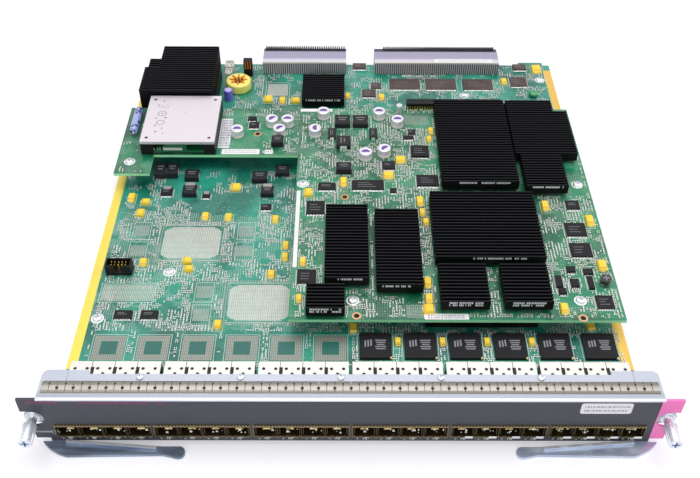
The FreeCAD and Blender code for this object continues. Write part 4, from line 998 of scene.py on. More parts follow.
def captive_screw(side):
    low, high = drawn_box("captive_screw_" + side)
    radius, length = (high.z - low.z) / 2, high.y - low.y
    middle_x, middle_z = (low.x + high.x) / 2, (low.z + high.z) / 2

    def laid(name, parts, material):
        """Joins forms that stand on Z, with the knob's front at zero, and lays them along Y."""
        corners, faces = [], []
        for part_corners, part_faces, _ in parts:
            faces += [[i + len(corners) for i in reversed(face)] for face in part_faces]
            corners += [at(middle_x + x, low.y + z, middle_z + y) for x, y, z in part_corners]
        return new_piece(name, mesh_of(name, corners, faces), material)

    knob = KNOB_LENGTH
    body = turned([(radius * 0.80, 0.0), (radius * 0.92, 0.25), (radius * 0.955, 0.9),
                   (radius * 0.955, knob - 0.8), (radius * 0.92, knob - 0.7), (radius * 0.92, knob),
                   (HOLLOW_RADIUS, knob), (HOLLOW_RADIUS, HOLLOW_FLOOR), (2.0, HOLLOW_FLOOR),
                   (2.0, knob + 3.4)], 120, ripple=knurl)
    steps = int((length - knob - 4) / (THREAD_MM / 8))
    threads = turned([(2.0, knob + 3.4 + k * THREAD_MM / 8) for k in range(steps)], 24, ripple=thread)
    tip = turned([(1.7, knob + 3.3), (1.7, length - 0.4), (1.3, length)], 24)
    piece = laid("screw_" + side + "_turned", (body, threads, tip), nickel)
    cutter = laid("recess cutter", [slab((-wide / 2, -tall / 2, -1.0), (wide / 2, tall / 2, 1.7))
                                    for wide, tall in ((5.0, 1.2), (1.2, 5.0))], recess_blue)
    cut = piece.modifiers.new("recess", "BOOLEAN")
    cut.object = cutter
    cut.use_self = True
    cut.material_mode = "TRANSFER"
    evaluated = piece.evaluated_get(bpy.context.evaluated_depsgraph_get())
    mesh = bpy.data.meshes.new_from_object(evaluated)
    piece.modifiers.remove(cut)
    piece.data = mesh
    bpy.data.objects.remove(cutter)
    keep(piece, "screw_" + side, ["captive_screw_" + side])

recess_blue = moulded("plated recess in shade", "#8fb4dc", 0.4)
for side in ("left", "right"):
    captive_screw(side)

# %% [markdown]
# ## Chip legs
# Gull-wing legs run along the sides of most chips. A tree turns each side's edge into a curve, spaces
# points along it at the leg pitch, and puts one leg on every point, turned outward. Long chips have legs
# along two sides, square ones along all four.

# %% Chip legs
LEG_PITCH = 1.0


def legs_tree():
    tree, given = new_tree("chip legs", Pitch=("Float", 0.001), Leg=("Vector", None),
                           Finish=("Material", None))
    sides = result(add_node(tree, "GeometryNodeMeshToCurve", {"Mesh": given["Geometry"]}))
    spaced = result(add_node(tree, "GeometryNodeResampleCurve", {"Curve": sides, "Length": given["Pitch"]},
                             mode="LENGTH"))
    leg = result(add_node(tree, "GeometryNodeMeshCube", {"Size": given["Leg"]}))
    place = result(add_node(tree, "GeometryNodeInputPosition"))
    split = add_node(tree, "ShaderNodeSeparateXYZ", {"Vector": place}).outputs
    outer_top = result(add_node(tree, "FunctionNodeBooleanMath", {
        0: result(add_node(tree, "FunctionNodeCompare", {0: split["Y"], 1: 0.0}, operation="GREATER_THAN")),
        1: result(add_node(tree, "FunctionNodeCompare", {0: split["Z"], 1: 0.0},
                           operation="GREATER_THAN"))}, operation="AND"))
    drop = calculate(tree, "MULTIPLY", add_node(tree, "ShaderNodeSeparateXYZ",
                                                {"Vector": given["Leg"]}).outputs["Z"], -0.75)
    lowered = result(add_node(tree, "ShaderNodeCombineXYZ", {"Z": drop}))
    bent = result(add_node(tree, "GeometryNodeSetPosition", {"Geometry": leg, "Selection": outer_top,
                                                             "Offset": lowered}))
    facing = result(add_node(tree, "FunctionNodeAlignRotationToVector",
                             {"Vector": attribute(tree, "outward", "FLOAT_VECTOR")}, axis="Y",
                             pivot_axis="Z"))
    copies = result(add_node(tree, "GeometryNodeInstanceOnPoints",
                             {"Points": spaced, "Instance": bent, "Rotation": facing}))
    end_tree(tree, copies, (given["Finish"], None))
    return tree


def leg_sides(boxes, leg_height, reach):
    """Two-point edges along the sides that carry legs, and the way that each faces."""
    corners, edges, outward = [], [], []
    for low, high in boxes:
        wide, deep = high.x - low.x, high.y - low.y
        if min(wide, deep) < 4.0:
            continue
        ways = []
        if wide < 1.35 * deep:
            ways += [(1, 0), (-1, 0)]
        if deep < 1.35 * wide:
            ways += [(0, 1), (0, -1)]
        inset = 0.9
        for x, y in ways:
            middle = Vector(((low.x + high.x) / 2, (low.y + high.y) / 2, low.z + leg_height / 2))
            centre = middle + Vector((x * (wide / 2 + reach / 2 - 0.1), y * (deep / 2 + reach / 2 - 0.1), 0))
            along = Vector((abs(y) * (wide / 2 - inset), abs(x) * (deep / 2 - inset), 0))
            first = len(corners)
            corners += [at(*(centre - along)), at(*(centre + along))]
            edges.append((first, first + 1))
            outward += [(x, y, 0.0), (x, y, 0.0)]
    mesh = bpy.data.meshes.new("leg sides")
    mesh.from_pydata([tuple(c) for c in corners], edges, [])
    layer = mesh.attributes.new("outward", "FLOAT_VECTOR", "POINT")
    layer.data.foreach_set("vector", [c for v in outward for c in v])
    return mesh


leg_height, leg_reach = 0.8, 1.1
legged = solids_of("logic_chips")
legs = grow("chip_legs", legs_tree(), leg_sides(legged, leg_height, leg_reach), Pitch=LEG_PITCH * MM,
            Leg=(0.42 * MM, leg_reach * MM, leg_height * MM), Finish=solder_tin)
keep(legs)

# %% [markdown]
# ## Marks on the chips
# A chip's top carries a few short bars of pale ink and a moulded dimple at its first leg. The port
# controllers behind the cages are larger, with a lighter dot of gold at one corner. Plain bars stand for
# the printing, since this part carries no wording.

# %% Chip marks
ink = random.Random(21)
bar_places, bar_sizes, dimples = [], [], []
for low, high in legged:
    wide, deep = high.x - low.x, high.y - low.y
    if min(wide, deep) < 6.0:
        continue
    rows = 3 if deep > 9 else 2
    for row in range(rows):
        length = wide * ink.uniform(0.35, 0.6)
        bar_places.append((low.x + 0.18 * wide + length / 2, high.y - deep * (0.3 + 0.2 * row),
                           high.z + 0.02))
        bar_sizes.append((length, 0.55, 1.0))
    dimples.append((low.x + 0.13 * wide, low.y + 0.16 * deep, high.z + 0.02))
chip_ink = moulded("pale grey chip ink", "#6f7076", 0.5)
keep(stamped("chip_bars", square, bar_places, bar_sizes, finish=chip_ink))
keep(stamped("chip_dimples", disc, dimples, (1.1, 1.1, 1.0), finish=black_nylon))

phy_boxes = solids_of("phy_chips")
bar_places, bar_sizes, dots = [], [], []
for low, high in phy_boxes:
    wide, deep = high.x - low.x, high.y - low.y
    for row in range(5):
        bar_places.append((low.x + wide * 0.66, low.y + deep * (0.70 - 0.085 * row), high.z + 0.03))
        bar_sizes.append((wide * (0.34 - 0.05 * (row % 3)), deep * 0.045, 1.0))
    for k, share in enumerate((0.18, 0.27, 0.36)):
        bar_places.append((low.x + wide * share, low.y + deep * (0.56 + 0.02 * k), high.z + 0.03))
        bar_sizes.append((wide * 0.05, deep * 0.26, 1.0))
    dots.append((high.x - 0.6, low.y + 0.4, high.z - 1.0))
bright_ink = moulded("white chip ink", "#8b8c94", 0.5)
keep(stamped("controller_bars", square, bar_places, bar_sizes, finish=bright_ink))
corner_shape = shape_of("corner dot", turned([(0.5, 0.0), (0.5, 0.5), (0.3, 0.8)], 12))
keep(stamped("controller_dots", corner_shape, dots, (1.8, 1.8, 1.3),
             finish=moulded("cream adhesive dot", "#ead9a0", 0.5)))

# %% [markdown]
# ## Solder pads without chips
# This card is a smaller version of a larger one, so many places for chips are empty and show their
# pads: square rings for port controllers, large rounded fields for two big grid-array chips, and small
# fields for memory. One tree lays a grid of pads on each place and keeps the pads between an inner and
# an outer limit, measured with a rounded-square distance.


# %% Pad fields
def pads_tree():
    tree, given = new_tree("pad field", Columns=("Int", 17), Rows=("Int", 17), Pitch=("Float", 0.0013),
                           Pad=("Float", 0.0007), Hole=("Float", 0.0), Sharpness=("Float", 12.0),
                           Shape=("Object", None), Finish=("Material", None))
    spans = [calculate(tree, "MULTIPLY", calculate(tree, "SUBTRACT", given[count], 1.0), given["Pitch"])
             for count in ("Columns", "Rows")]
    grid = result(add_node(tree, "GeometryNodeMeshGrid", {"Size X": spans[0], "Size Y": spans[1],
                                                          "Vertices X": given["Columns"],
                                                          "Vertices Y": given["Rows"]}))
    split = add_node(tree, "ShaderNodeSeparateXYZ",
                     {"Vector": result(add_node(tree, "GeometryNodeInputPosition"))}).outputs
    powers = []
    for axis, span in zip("XY", spans):
        half_span = calculate(tree, "MULTIPLY", span, 0.5)
        share = calculate(tree, "ABSOLUTE", calculate(tree, "DIVIDE", split[axis], half_span))
        powers.append(calculate(tree, "POWER", share, given["Sharpness"]))
    total = calculate(tree, "ADD", powers[0], powers[1])
    distance = calculate(tree, "POWER", total, calculate(tree, "DIVIDE", 1.0, given["Sharpness"]))
    inside = result(add_node(tree, "FunctionNodeCompare", {0: distance, 1: 1.08}, operation="LESS_THAN"))
    outside = result(add_node(tree, "FunctionNodeCompare", {0: distance, 1: given["Hole"]},
                              operation="GREATER_EQUAL"))
    kept = result(add_node(tree, "FunctionNodeBooleanMath", {0: inside, 1: outside}, operation="AND"))
    pad = add_node(tree, "GeometryNodeObjectInfo", {"Object": given["Shape"]}).outputs["Geometry"]
    scale = result(add_node(tree, "ShaderNodeCombineXYZ", {"X": given["Pad"], "Y": given["Pad"], "Z": 1.0}))
    field = result(add_node(tree, "GeometryNodeInstanceOnPoints",
                            {"Points": grid, "Selection": kept, "Instance": pad, "Scale": scale}))
    fields = result(add_node(tree, "GeometryNodeInstanceOnPoints", {"Points": given["Geometry"],
                                                                    "Instance": field}))
    end_tree(tree, fields, (given["Finish"], None))
    return tree


pads = pads_tree()
pad_dull = plated("dull solder-plated pads", "#a3aca4", 0.45, 0.4, 0.5)
pad_bright = plated("bright solder-plated pads", "#cfcdc6", 0.45, 0.4, 0.5)
close_mask = moulded("greyed solder mask between close pads", "#767a70", 0.4)
pad_pair = shape_of("pad pair", flat([(-0.5, -0.9), (0.5, -0.9), (0.5, -0.2), (-0.5, -0.2)]),
                    flat([(-0.5, 0.2), (0.5, 0.2), (0.5, 0.9), (-0.5, 0.9)]))
print("pad tree ready")

# %% Places for missing chips
PRINT_RISE = 0.03
SQUARE, ROUNDED = 12.0, 4.0
CONTROLLER_Y, CONTROLLER_FIELD, CONTROLLER_MIDDLE = 67.6, 20.7, 11.2
main_z, upper_z = main_top + PRINT_RISE, upper_top + PRINT_RISE
empty_controllers = [-158.8 + 29.15 * k for k in range(6)]
big_chips = [(-116.5, 167.0), (-63.0, 108.0)]
memories = [(-154.5, 179.5), (-154.5, 158.5), (-77.0, 179.5), (-77.0, 158.5), (-101.5, 117.5),
            (-101.5, 96.5)]

def pad_field(name, places, columns, rows, pitch, pad, finish, hole=0.0, corners=SQUARE, shape=square,
              z=main_z):
    """Grids of pads at a pitch in mm. The hole is the share of a grid that stays empty in its middle."""
    base = points_mesh(name, [(x, y, z) for x, y in places])
    keep(grow(name, pads, base, Columns=columns, Rows=rows, Pitch=pitch * MM, Pad=pad * MM, Hole=hole,
              Sharpness=corners, Shape=shape, Finish=finish))

# between the closest pads the mask looks grey, and in their middle it is clean
keep(stamped("controller_grounds", square,
             [(x, CONTROLLER_Y, main_top + PRINT_RISE / 2) for x in empty_controllers],
             (CONTROLLER_FIELD, CONTROLLER_FIELD, 1), finish=close_mask))
keep(stamped("controller_middles", square, [(x, CONTROLLER_Y, main_z) for x in empty_controllers],
             (CONTROLLER_MIDDLE, CONTROLLER_MIDDLE, 1), finish=mask_patch))
pad_field("ring_pads", [(x, CONTROLLER_Y) for x in empty_controllers], 17, 17, 1.22, 0.8, pad_dull,
          hole=0.58)
pad_field("large_pads_rear", big_chips[:1], 33, 26, 1.27, 1.04, pad_bright, corners=ROUNDED)
pad_field("large_pads_front", big_chips[1:], 33, 26, 1.27, 1.04, pad_bright, corners=ROUNDED)
pad_field("decoupling_pads", big_chips, 29, 24, 1.75, 0.85, pad_dull, hole=0.88, shape=pad_pair)
pad_field("memory_pads", memories, 11, 11, 1.0, 0.76, pad_dull)
pad_field("wide_pads", [(-154.5, 117.0)], 30, 13, 1.2, 0.8, pad_bright)
pad_field("rear_pads", [(-63.5, 362.0)], 18, 18, 1.0, 0.78, pad_bright)
pad_field("upper_pads", [(55.0, 297.0), (47.0, 86.5)], 15, 9, 1.3, 0.8, pad_dull, z=upper_z)

# %% [markdown]
# ## Printed outlines and plated holes
# White marking ink outlines the places of parts. Plated holes for the chassis ground have a bright
# copper ring, and every board screw sits on a round tinned land. All are thin and flat, laid just above
# the mask.

# %% Outlines and rings
LINE = 0.28


def outline(x0, y0, x1, y1, z):
    """Four thin bars round a place."""
    middle_x, middle_y = (x0 + x1) / 2, (y0 + y1) / 2
    return [((middle_x, y0, z), (x1 - x0, LINE, 1)), ((middle_x, y1, z), (x1 - x0, LINE, 1)),
            ((x0, middle_y, z), (LINE, y1 - y0, 1)), ((x1, middle_y, z), (LINE, y1 - y0, 1))]


bars = []
for x in empty_controllers:
    bars += outline(x - 11.3, 56.3, x + 11.3, 78.9, main_z)
for x, y in memories:
    bars += outline(x - 6.4, y - 9.2, x + 6.4, y + 9.2, main_z)
bars += outline(-139.5, 148.5, -94.0, 185.5, main_z) + outline(-86.0, 89.5, -40.5, 126.5, main_z)
bars += outline(-173.5, 108.0, -136.0, 126.0, main_z) + outline(-74.0, 351.0, -53.0, 373.0, main_z)
for low, high in phy_boxes:
    bars += outline(low.x - 1.2, low.y - 1.2, high.x + 1.2, high.y + 1.2, main_z)
for low, high in solids_of("tantalum_capacitors") + legged:
    rise = main_z if low.z < main_top + 1 else upper_z
    bars += outline(low.x - 0.8, low.y - 0.8, high.x + 0.8, high.y + 0.8, rise)
keep(stamped("outlines", square, [b[0] for b in bars], [b[1] for b in bars], finish=white_ink))

hole_places = [(-4.0, 201.0, upper_z), (4.0, 82.5, upper_z), (153.0, 81.0, upper_z), (-74.5, 278.0, upper_z)]
copper = plated("bare copper ring", "#c99f76", 0.35, 0.4)
keep(stamped("plated_rings", wide_ring, hole_places, (6.4, 6.4, 1), finish=copper))
# the hole inside each ring is a black disc of painted shade
keep(stamped("plated_holes", disc, [(x, y, z + 0.01) for x, y, z in hole_places], (3.8, 3.8, 1),
             finish=chip_epoxy))
lands = [middle_of(low, high)[:2] + (main_z if high.z < upper_top else upper_z,)
         for low, high in solids_of("board_screws")]
keep(stamped("screw_lands", disc, lands, (8.8, 8.8, 1), finish=solder_tin))

# %% [markdown]
# ## Tiny parts by the hundred
# Between the chips lie hundreds of resistors and ceramic capacitors, each about two millimetres long
# with a tin cap at both ends. They sit in short rows, all turned one way or the other. A tree lays a grid
# over a patch of board, keeps its points where a soft noise is high, so that rows and gaps appear by
# themselves, and drops every point too close to a larger piece, which it measures to a map of footprints.


# %% Tiny parts tree
def tiny_parts_tree():
    tree, given = new_tree(
        "tiny parts", Columns=("Int", 10), Rows=("Int", 10), Width=("Float", 0.1), Depth=("Float", 0.1),
        Centre=("Vector", None), Part=("Vector", None), Cluster=("Float", 100.0), Threshold=("Float", 0.5),
        Low=("Float", 0.0), High=("Float", 1.0), Seed=("Int", 1), Footprints=("Object", None),
        Clearance=("Float", 0.001), Body=("Material", None), Tin=("Material", None))
    grid = result(add_node(tree, "GeometryNodeMeshGrid", {
        "Size X": given["Width"], "Size Y": given["Depth"], "Vertices X": given["Columns"],
        "Vertices Y": given["Rows"]}))
    grid = result(add_node(tree, "GeometryNodeSetPosition", {"Geometry": grid, "Offset": given["Centre"]}))
    place = result(add_node(tree, "GeometryNodeInputPosition"))
    cluster = add_node(tree, "ShaderNodeTexNoise", {"Vector": place, "Scale": given["Cluster"],
                                                    "Detail": 2.0}).outputs["Fac"]
    crowded = result(add_node(tree, "FunctionNodeCompare", {0: cluster, 1: given["Threshold"]},
                              operation="GREATER_THAN"))
    chance = result(add_node(tree, "FunctionNodeRandomValue", {"Seed": given["Seed"]}, data_type="FLOAT"))
    above = result(add_node(tree, "FunctionNodeCompare", {0: chance, 1: given["Low"]},
                            operation="GREATER_EQUAL"))
    below = result(add_node(tree, "FunctionNodeCompare", {0: chance, 1: given["High"]},
                            operation="LESS_THAN"))
    taken = add_node(tree, "GeometryNodeObjectInfo", {"Object": given["Footprints"]}).outputs["Geometry"]
    distance = add_node(tree, "GeometryNodeProximity", {"Geometry": taken, "Sample Position": place},
                        target_element="FACES").outputs["Distance"]
    clear = result(add_node(tree, "FunctionNodeCompare", {0: distance, 1: given["Clearance"]},
                            operation="GREATER_THAN"))
    chosen = crowded
    for test in (above, below, clear):
        chosen = result(add_node(tree, "FunctionNodeBooleanMath", {0: chosen, 1: test}, operation="AND"))
    # the middle of each part is its body, and the two ends are marked as tin
    part = result(add_node(tree, "GeometryNodeMeshCube", {"Size": given["Part"], "Vertices X": 4}))
    along = add_node(tree, "ShaderNodeSeparateXYZ", {"Vector": place}).outputs["X"]
    length = add_node(tree, "ShaderNodeSeparateXYZ", {"Vector": given["Part"]}).outputs["X"]
    share = calculate(tree, "ABSOLUTE", calculate(tree, "DIVIDE", along, length))
    ends = result(add_node(tree, "FunctionNodeCompare", {0: share, 1: 0.3}, operation="GREATER_THAN"))
    part = result(add_node(tree, "GeometryNodeStoreNamedAttribute", {"Geometry": part, "Name": "tin",
                                                                     "Value": ends},
                           data_type="BOOLEAN", domain="FACE"))
    other = add_node(tree, "ShaderNodeTexNoise", {"Vector": place, "Scale": calculate(
        tree, "MULTIPLY", given["Cluster"], 1.7), "Detail": 0.0}).outputs["Fac"]
    quarter = calculate(tree, "MULTIPLY", calculate(tree, "GREATER_THAN", other, 0.5), math.pi / 2)
    turn = result(add_node(tree, "ShaderNodeCombineXYZ", {"Z": quarter}))
    copies = result(add_node(tree, "GeometryNodeInstanceOnPoints", {
        "Points": grid, "Selection": chosen, "Instance": part, "Rotation": turn}))
    end_tree(tree, copies, (given["Body"], None), (given["Tin"], "tin"))
    return tree


tiny_parts = tiny_parts_tree()

# %% [markdown]
# The map of footprints is a set of flat rectangles at board level, one under each piece that stands on
# that board and one over each pad field. It is only a helper, and isn't kept.

# %% Footprints
ON_BOARDS = ["phy_chips", "logic_chips", "inductors", "tantalum_capacitors", "can_capacitors",
             "leaded_capacitors", "choke_core", "pin_header", "rear_block", "white_connectors",
             "backplane_wafers_left", "backplane_wafers_right", "stack_connector", "rear_power_module",
             "sink_packages", "standoffs", "board_screws", "axial_capacitor", "brick_blocks", "brick_plate",
             "hub_sink", "under_sink", "sink_corner", "sink_left", "sink_centre", "sink_front_middle",
             "sink_front_right", "sink_wide", "sink_tall", "sink_stepped", "rear_sink"]
ON_BOARDS += ["port_cage_%d" % number for number in range(1, 7)]


def footprints(board_z, extra):
    corners, faces = [], []
    rectangles = list(extra)
    for node in ON_BOARDS:
        for low, high in solids_of(node):
            if low.z < board_z + 4.0 and high.z > board_z + 0.3:
                rectangles.append((low.x, low.y, high.x, high.y))
    for x0, y0, x1, y1 in rectangles:
        first = len(corners)
        corners += [at(x0, y0, board_z), at(x1, y0, board_z), at(x1, y1, board_z), at(x0, y1, board_z)]
        faces.append((first, first + 1, first + 2, first + 3))
    return bpy.data.objects.new("footprints", mesh_of("footprints", corners, faces))


main_extra = [(x - 12, 56, x + 12, 80.5) for x in empty_controllers]
main_extra += [(-139, 149, -94, 185), (-86, 90, -40, 126), (-173, 108.5, -136, 125.5), (-74, 351, -53, 373)]
main_extra += [(x - 6.5, y - 9, x + 6.5, y + 9) for x, y in memories]
main_extra += [(-120, 190, -70, 214), (-172, 50, -168, 54)]
upper_extra = [(x - 4, y - 4, x + 4, y + 4) for x, y, _ in hole_places]
upper_extra += [(40, 288, 67, 306), (36, 80, 58, 93), (-41, 125, -37, 210), (-106, 250, -70, 300),
                (-42, 306, -14, 314), (47, 75, 78, 85)]
main_map = footprints(main_top, main_extra)
upper_map = footprints(upper_top, upper_extra)


# %% Scatter the tiny parts
TINY_PITCH, TINY_SIZE, CLUSTER_MM = (2.2, 1.7), (1.6, 0.85), 6.0

def scatter(name, patch, height, threshold, share, upper, body):
    """Lays tiny parts over a patch of board, between two corners in mm."""
    x0, y0, x1, y1 = patch
    z = (upper_top if upper else main_top) + height / 2
    keep(grow(name, tiny_parts, Columns=int((x1 - x0) / TINY_PITCH[0]) + 1,
              Rows=int((y1 - y0) / TINY_PITCH[1]) + 1, Width=(x1 - x0) * MM, Depth=(y1 - y0) * MM,
              Centre=at((x0 + x1) / 2, (y0 + y1) / 2, z), Part=tuple(c * MM for c in TINY_SIZE + (height,)),
              Cluster=0.5 / (CLUSTER_MM * MM), Threshold=threshold, Low=share[0], High=share[1], Seed=3,
              Footprints=upper_map if upper else main_map, Clearance=1.0 * MM, Body=body, Tin=solder_tin))

# each patch: its corners, whether it is on the daughter board, and how high the noise must be there
patches = {
    "front": ((-172, 52, 178, 200), False, 0.45), "middle": ((-172, 201, 178, 248), False, 0.56),
    "rear": ((-110, 318, 176, 398), False, 0.50), "body": ((-38, 82, 179, 311), True, 0.46),
    "arm": ((-104, 253, -42, 311), True, 0.50), "lobe": ((-180, 230, -157, 311), True, 0.62),
}
for place, (patch, upper, threshold) in patches.items():
    scatter("tiny_%s_ceramic" % place, patch, 0.75, threshold, (0.0, 0.4), upper, ceramic_body)
    scatter("tiny_%s_resistor" % place, patch, 0.45, threshold, (0.4, 0.8), upper, resistor_body)

# %% [markdown]
# ## Transistor tabs and painted dashes
# A power transistor is soldered down by a broad tin tab, which stands out behind its black body. In
# front of the right backplane connector three dashes of white paint lie on the board.

# %% Tabs and dashes
tabbed = [(low, high) for low, high in legged + inductor_boxes
          if 210 < low.y < 230 and high.z < upper_top]
tab_tin = plated("tinned copper tab", "#a5a19b", 0.4, 0.4, 0.5)
tab_shape = shape_of("tab", slab((-half, -half, 0.0), (half, half, 1.0), taper=0.06))
keep(stamped("transistor_tabs", tab_shape,
             [((low.x + high.x) / 2, high.y + 0.4, high.z - 1.6) for low, high in tabbed],
             [((high.x - low.x) * 0.75, 4.0, 1.7) for low, high in tabbed], finish=tab_tin))
keep(stamped("white_dashes", square, [(x, 384.5, main_z) for x in (51.5, 62.5, 75.5)],
             [(8.5, 1.8, 1), (6.0, 1.8, 1), (5.0, 1.8, 1)], finish=white_ink))

# %% [markdown]
# ## Transceiver cages
# The top of every port has three small round holes that let the cage sit on its alignment posts.
# Between two ports the sheet is folded: a narrow dark seam ends in a short open slot. The holes, seam
# and slot are drawn flat on the cage in painted shade, standing for the dark inside of each opening.

# %% Cage holes and seams
PORTS_PER_CAGE = 4
cage_boxes = [drawn_box("port_cage_%d" % number) for number in range(1, 7)]
port_pitch = (cage_boxes[0][1].x - cage_boxes[0][0].x) / PORTS_PER_CAGE
ports = [low.x + (p + 0.5) * port_pitch for low, _ in cage_boxes for p in range(PORTS_PER_CAGE)]
cage_top, cage_rear = cage_boxes[0][1].z, cage_boxes[0][1].y
# painted shade for the dark insides of holes, slots and seams
opening_shade = moulded("painted shade in an opening", "#2a2116", 0.7)
holes = [(x + dx, cage_rear - back, cage_top + 0.02) for x in ports
         for dx, back in ((-3.8, 5.8), (3.8, 5.8), (0.0, 9.8))]
seams = [(a + b) / 2 for a, b in zip(ports, ports[1:]) if b - a < port_pitch * 1.05]
for name, shape, places, size in (
        ("cage_slots", square, [(x, 41.6, cage_top + PRINT_RISE) for x in seams], (2.3, 5.0, 1)),
        ("cage_seams", square, [(x - 0.6, cage_rear - 2.4, cage_top + PRINT_RISE) for x in seams],
         (0.35, 4.6, 1)),
        ("cage_holes", disc, holes, (2.2, 2.2, 1))):
    keep(stamped(name, shape, places, size, finish=opening_shade))

# %% [markdown]
# ## Springs in and around the ports
# In each window a row of springy fingers presses on the panel. Inside, each port is lined by two springs
# on each side and a latch tongue low in its mouth, and small white patches of painted glint stand for
# light caught on polished edges. Under the mouth a hook holds the cage to the panel.

# %% Springs and latches
finger_shape = shape_of("spring finger", slab((-0.5, -0.5, -0.5), (0.5, 0.5, 0.5), taper=0.12))
brass = plated("brass-tinted spring finger", "#8f7f58", 0.34, 0.4)
olive = plated("bronze-coloured spring sheet", "#4f4429", 0.38, 0.4, 0.8)
painted_glint = plated("painted glint on latch edges", "#fbf9ee", 0.3, 0.4, 0.0)
hook_tin = plated("latch hook", "#b5b1a2", 0.4, 0.4, 0.3)
rows, sizes = [], []
for low, high in cage_boxes:
    count = int((high.x - low.x) / 1.9)
    for k in range(count):
        x = low.x + (k + 0.5) * (high.x - low.x) / count
        rows.append((x, -0.9, high.z + 0.35))
        sizes.append((1.1, 0.9, 0.8))
        if k % 2:
            rows.append((x, -0.9, low.z - 0.5))
            sizes.append((1.5, 0.9, 0.8))
keep(stamped("spring_fingers", finger_shape, rows, sizes, finish=brass))
side_springs = [(x + side * (6.0 - 1.3 * k), 1.5 + 5 * k, 10.4)
                for x in ports for side in (-1, 1) for k in range(2)]
tongues = [(x, 6.0, 7.0) for x in ports]
glint_places, glint_sizes, hooks, hook_sizes = [], [], [], []
glints = random.Random(7)
# painted glints: a few white patches at random places in each mouth
for x in ports:
    for size in (1.9, 1.3, 0.8, 0.6):
        glint_places.append((x + 1.5 + glints.uniform(-3.0, 3.5), glints.uniform(0.5, 2.5),
                        glints.uniform(7.4, 10.6)))
        glint_sizes.append((size * glints.uniform(0.5, 1.0), 0.4, size * glints.uniform(0.6, 1.1)))
    hooks += [(x + 1.0, -1.3, 5.3), (x + 1.0, -1.3, 4.2)]
    hook_sizes += [(3.6, 0.5, 0.7), (1.0, 0.5, 1.8)]
for name, places, sizes, finish in (
        ("port_side_springs", side_springs, (0.5, 3.4, 7.4), olive),
        ("port_tongues", tongues, (5.0, 5.0, 0.7), brass),
        ("port_catches", glint_places, glint_sizes, painted_glint), ("cage_hooks", hooks, hook_sizes, hook_tin)):
    keep(stamped(name, finger_shape, places, sizes, finish=finish))

# %% [markdown]
# ## Marks on the panel
# Small grey arrows and short bars number the ports, a dull magenta line of bars runs along the top edge at
# the left, and a white label with rounded corners sits at the right. The face of the panel is upright,
# so these flat shapes are stamped lying down and then tipped up against it.


# %% Panel marks
def tipped(piece, y=0.0):
    """Turns flat stamps, laid at their places across and up, to stand on the panel's face."""
    stand = Matrix.Rotation(math.pi / 2, 4, "X")
    piece.data.transform(Matrix.Translation(at(0, y, 0)) @ stand @ Matrix.Translation(-at(0, 0, 0)))
    return piece

def on_panel(name, shape, places, sizes, finish, lift=0.03):
    """Stamps shapes on the panel's face. Each place is across and up, each size is wide and high."""
    if isinstance(sizes, tuple):
        sizes = [sizes] * len(places)
    piece = stamped(name, shape, [(x, up, 0.0) for x, up in places], [(w, h, 1.0) for w, h in sizes],
                    finish=finish)
    keep(tipped(piece, -lift))

arrow = shape_of("arrow", flat([(-0.5, -0.5), (0.5, -0.5), (0.0, 0.5)]))
panel_ink = moulded("light grey panel ink", "#b9bac2", 0.5)
on_panel("port_numbers", square, [(x + dx, 2.2) for x in ports for dx in (-0.7, 0.7)], (0.8, 1.5),
         panel_ink)
on_panel("port_arrows", arrow, [(x - 4.2, 2.2) for x in ports], (1.5, 1.3), panel_ink)
on_panel("light_guides", square, [(x + 3.6, 6.4) for x in ports[-8:]], (4.8, 2.1), label_stock,
         lift=1.9)

ink = random.Random(5)
red_places, red_sizes = [], []
for x, end in ((-189.0, -171.0), (-159.0, -118.0), (-113.5, -109.0)):
    while x < end:
        width = ink.uniform(0.7, 1.5)
        red_places.append((x + width / 2, 38.0))
        red_sizes.append((width, 2.9))
        x += width + 0.4
on_panel("panel_title", square, red_places, red_sizes, red_ink)
on_panel("panel_name", square, [(-190.0 + 1.6 * k, 9.0) for k in range(7)], (1.1, 1.6), panel_ink)
status_x, status_z = -panel_half + 17.0, 8.5
on_panel("status_ring", thin_ring, [(status_x, status_z)], (4.6, 4.6), panel_ink)
lens = new_piece("status_light", mesh_of("lens", *turned([(0.2, 0.0), (0.9, 0.15), (1.15, 0.6), (1.15, 2.4)],
                                                         20)[:2], True), led_lens)
lens.data.transform(Matrix.Translation(at(status_x, -0.2, status_z)) @ Matrix.Rotation(-math.pi / 2, 4, "X")
                    @ Matrix.Scale(MM, 4))
keep(lens)

# %% [markdown]
# ## Labels
# A label is a thin sheet with rounded corners. One function gives its outline as four quarter arcs.
# Its printing is left as rows of plain bars.


# %% Labels
def rounded(width, depth, corner):
    points = []
    for quarter, (cx, cy) in enumerate(((1, 1), (-1, 1), (-1, -1), (1, -1))):
        for k in range(5):
            angle = math.pi / 2 * (quarter + k / 4)
            points.append((cx * (width / 2 - corner) + corner * math.cos(angle),
                           cy * (depth / 2 - corner) + corner * math.sin(angle)))
    return points


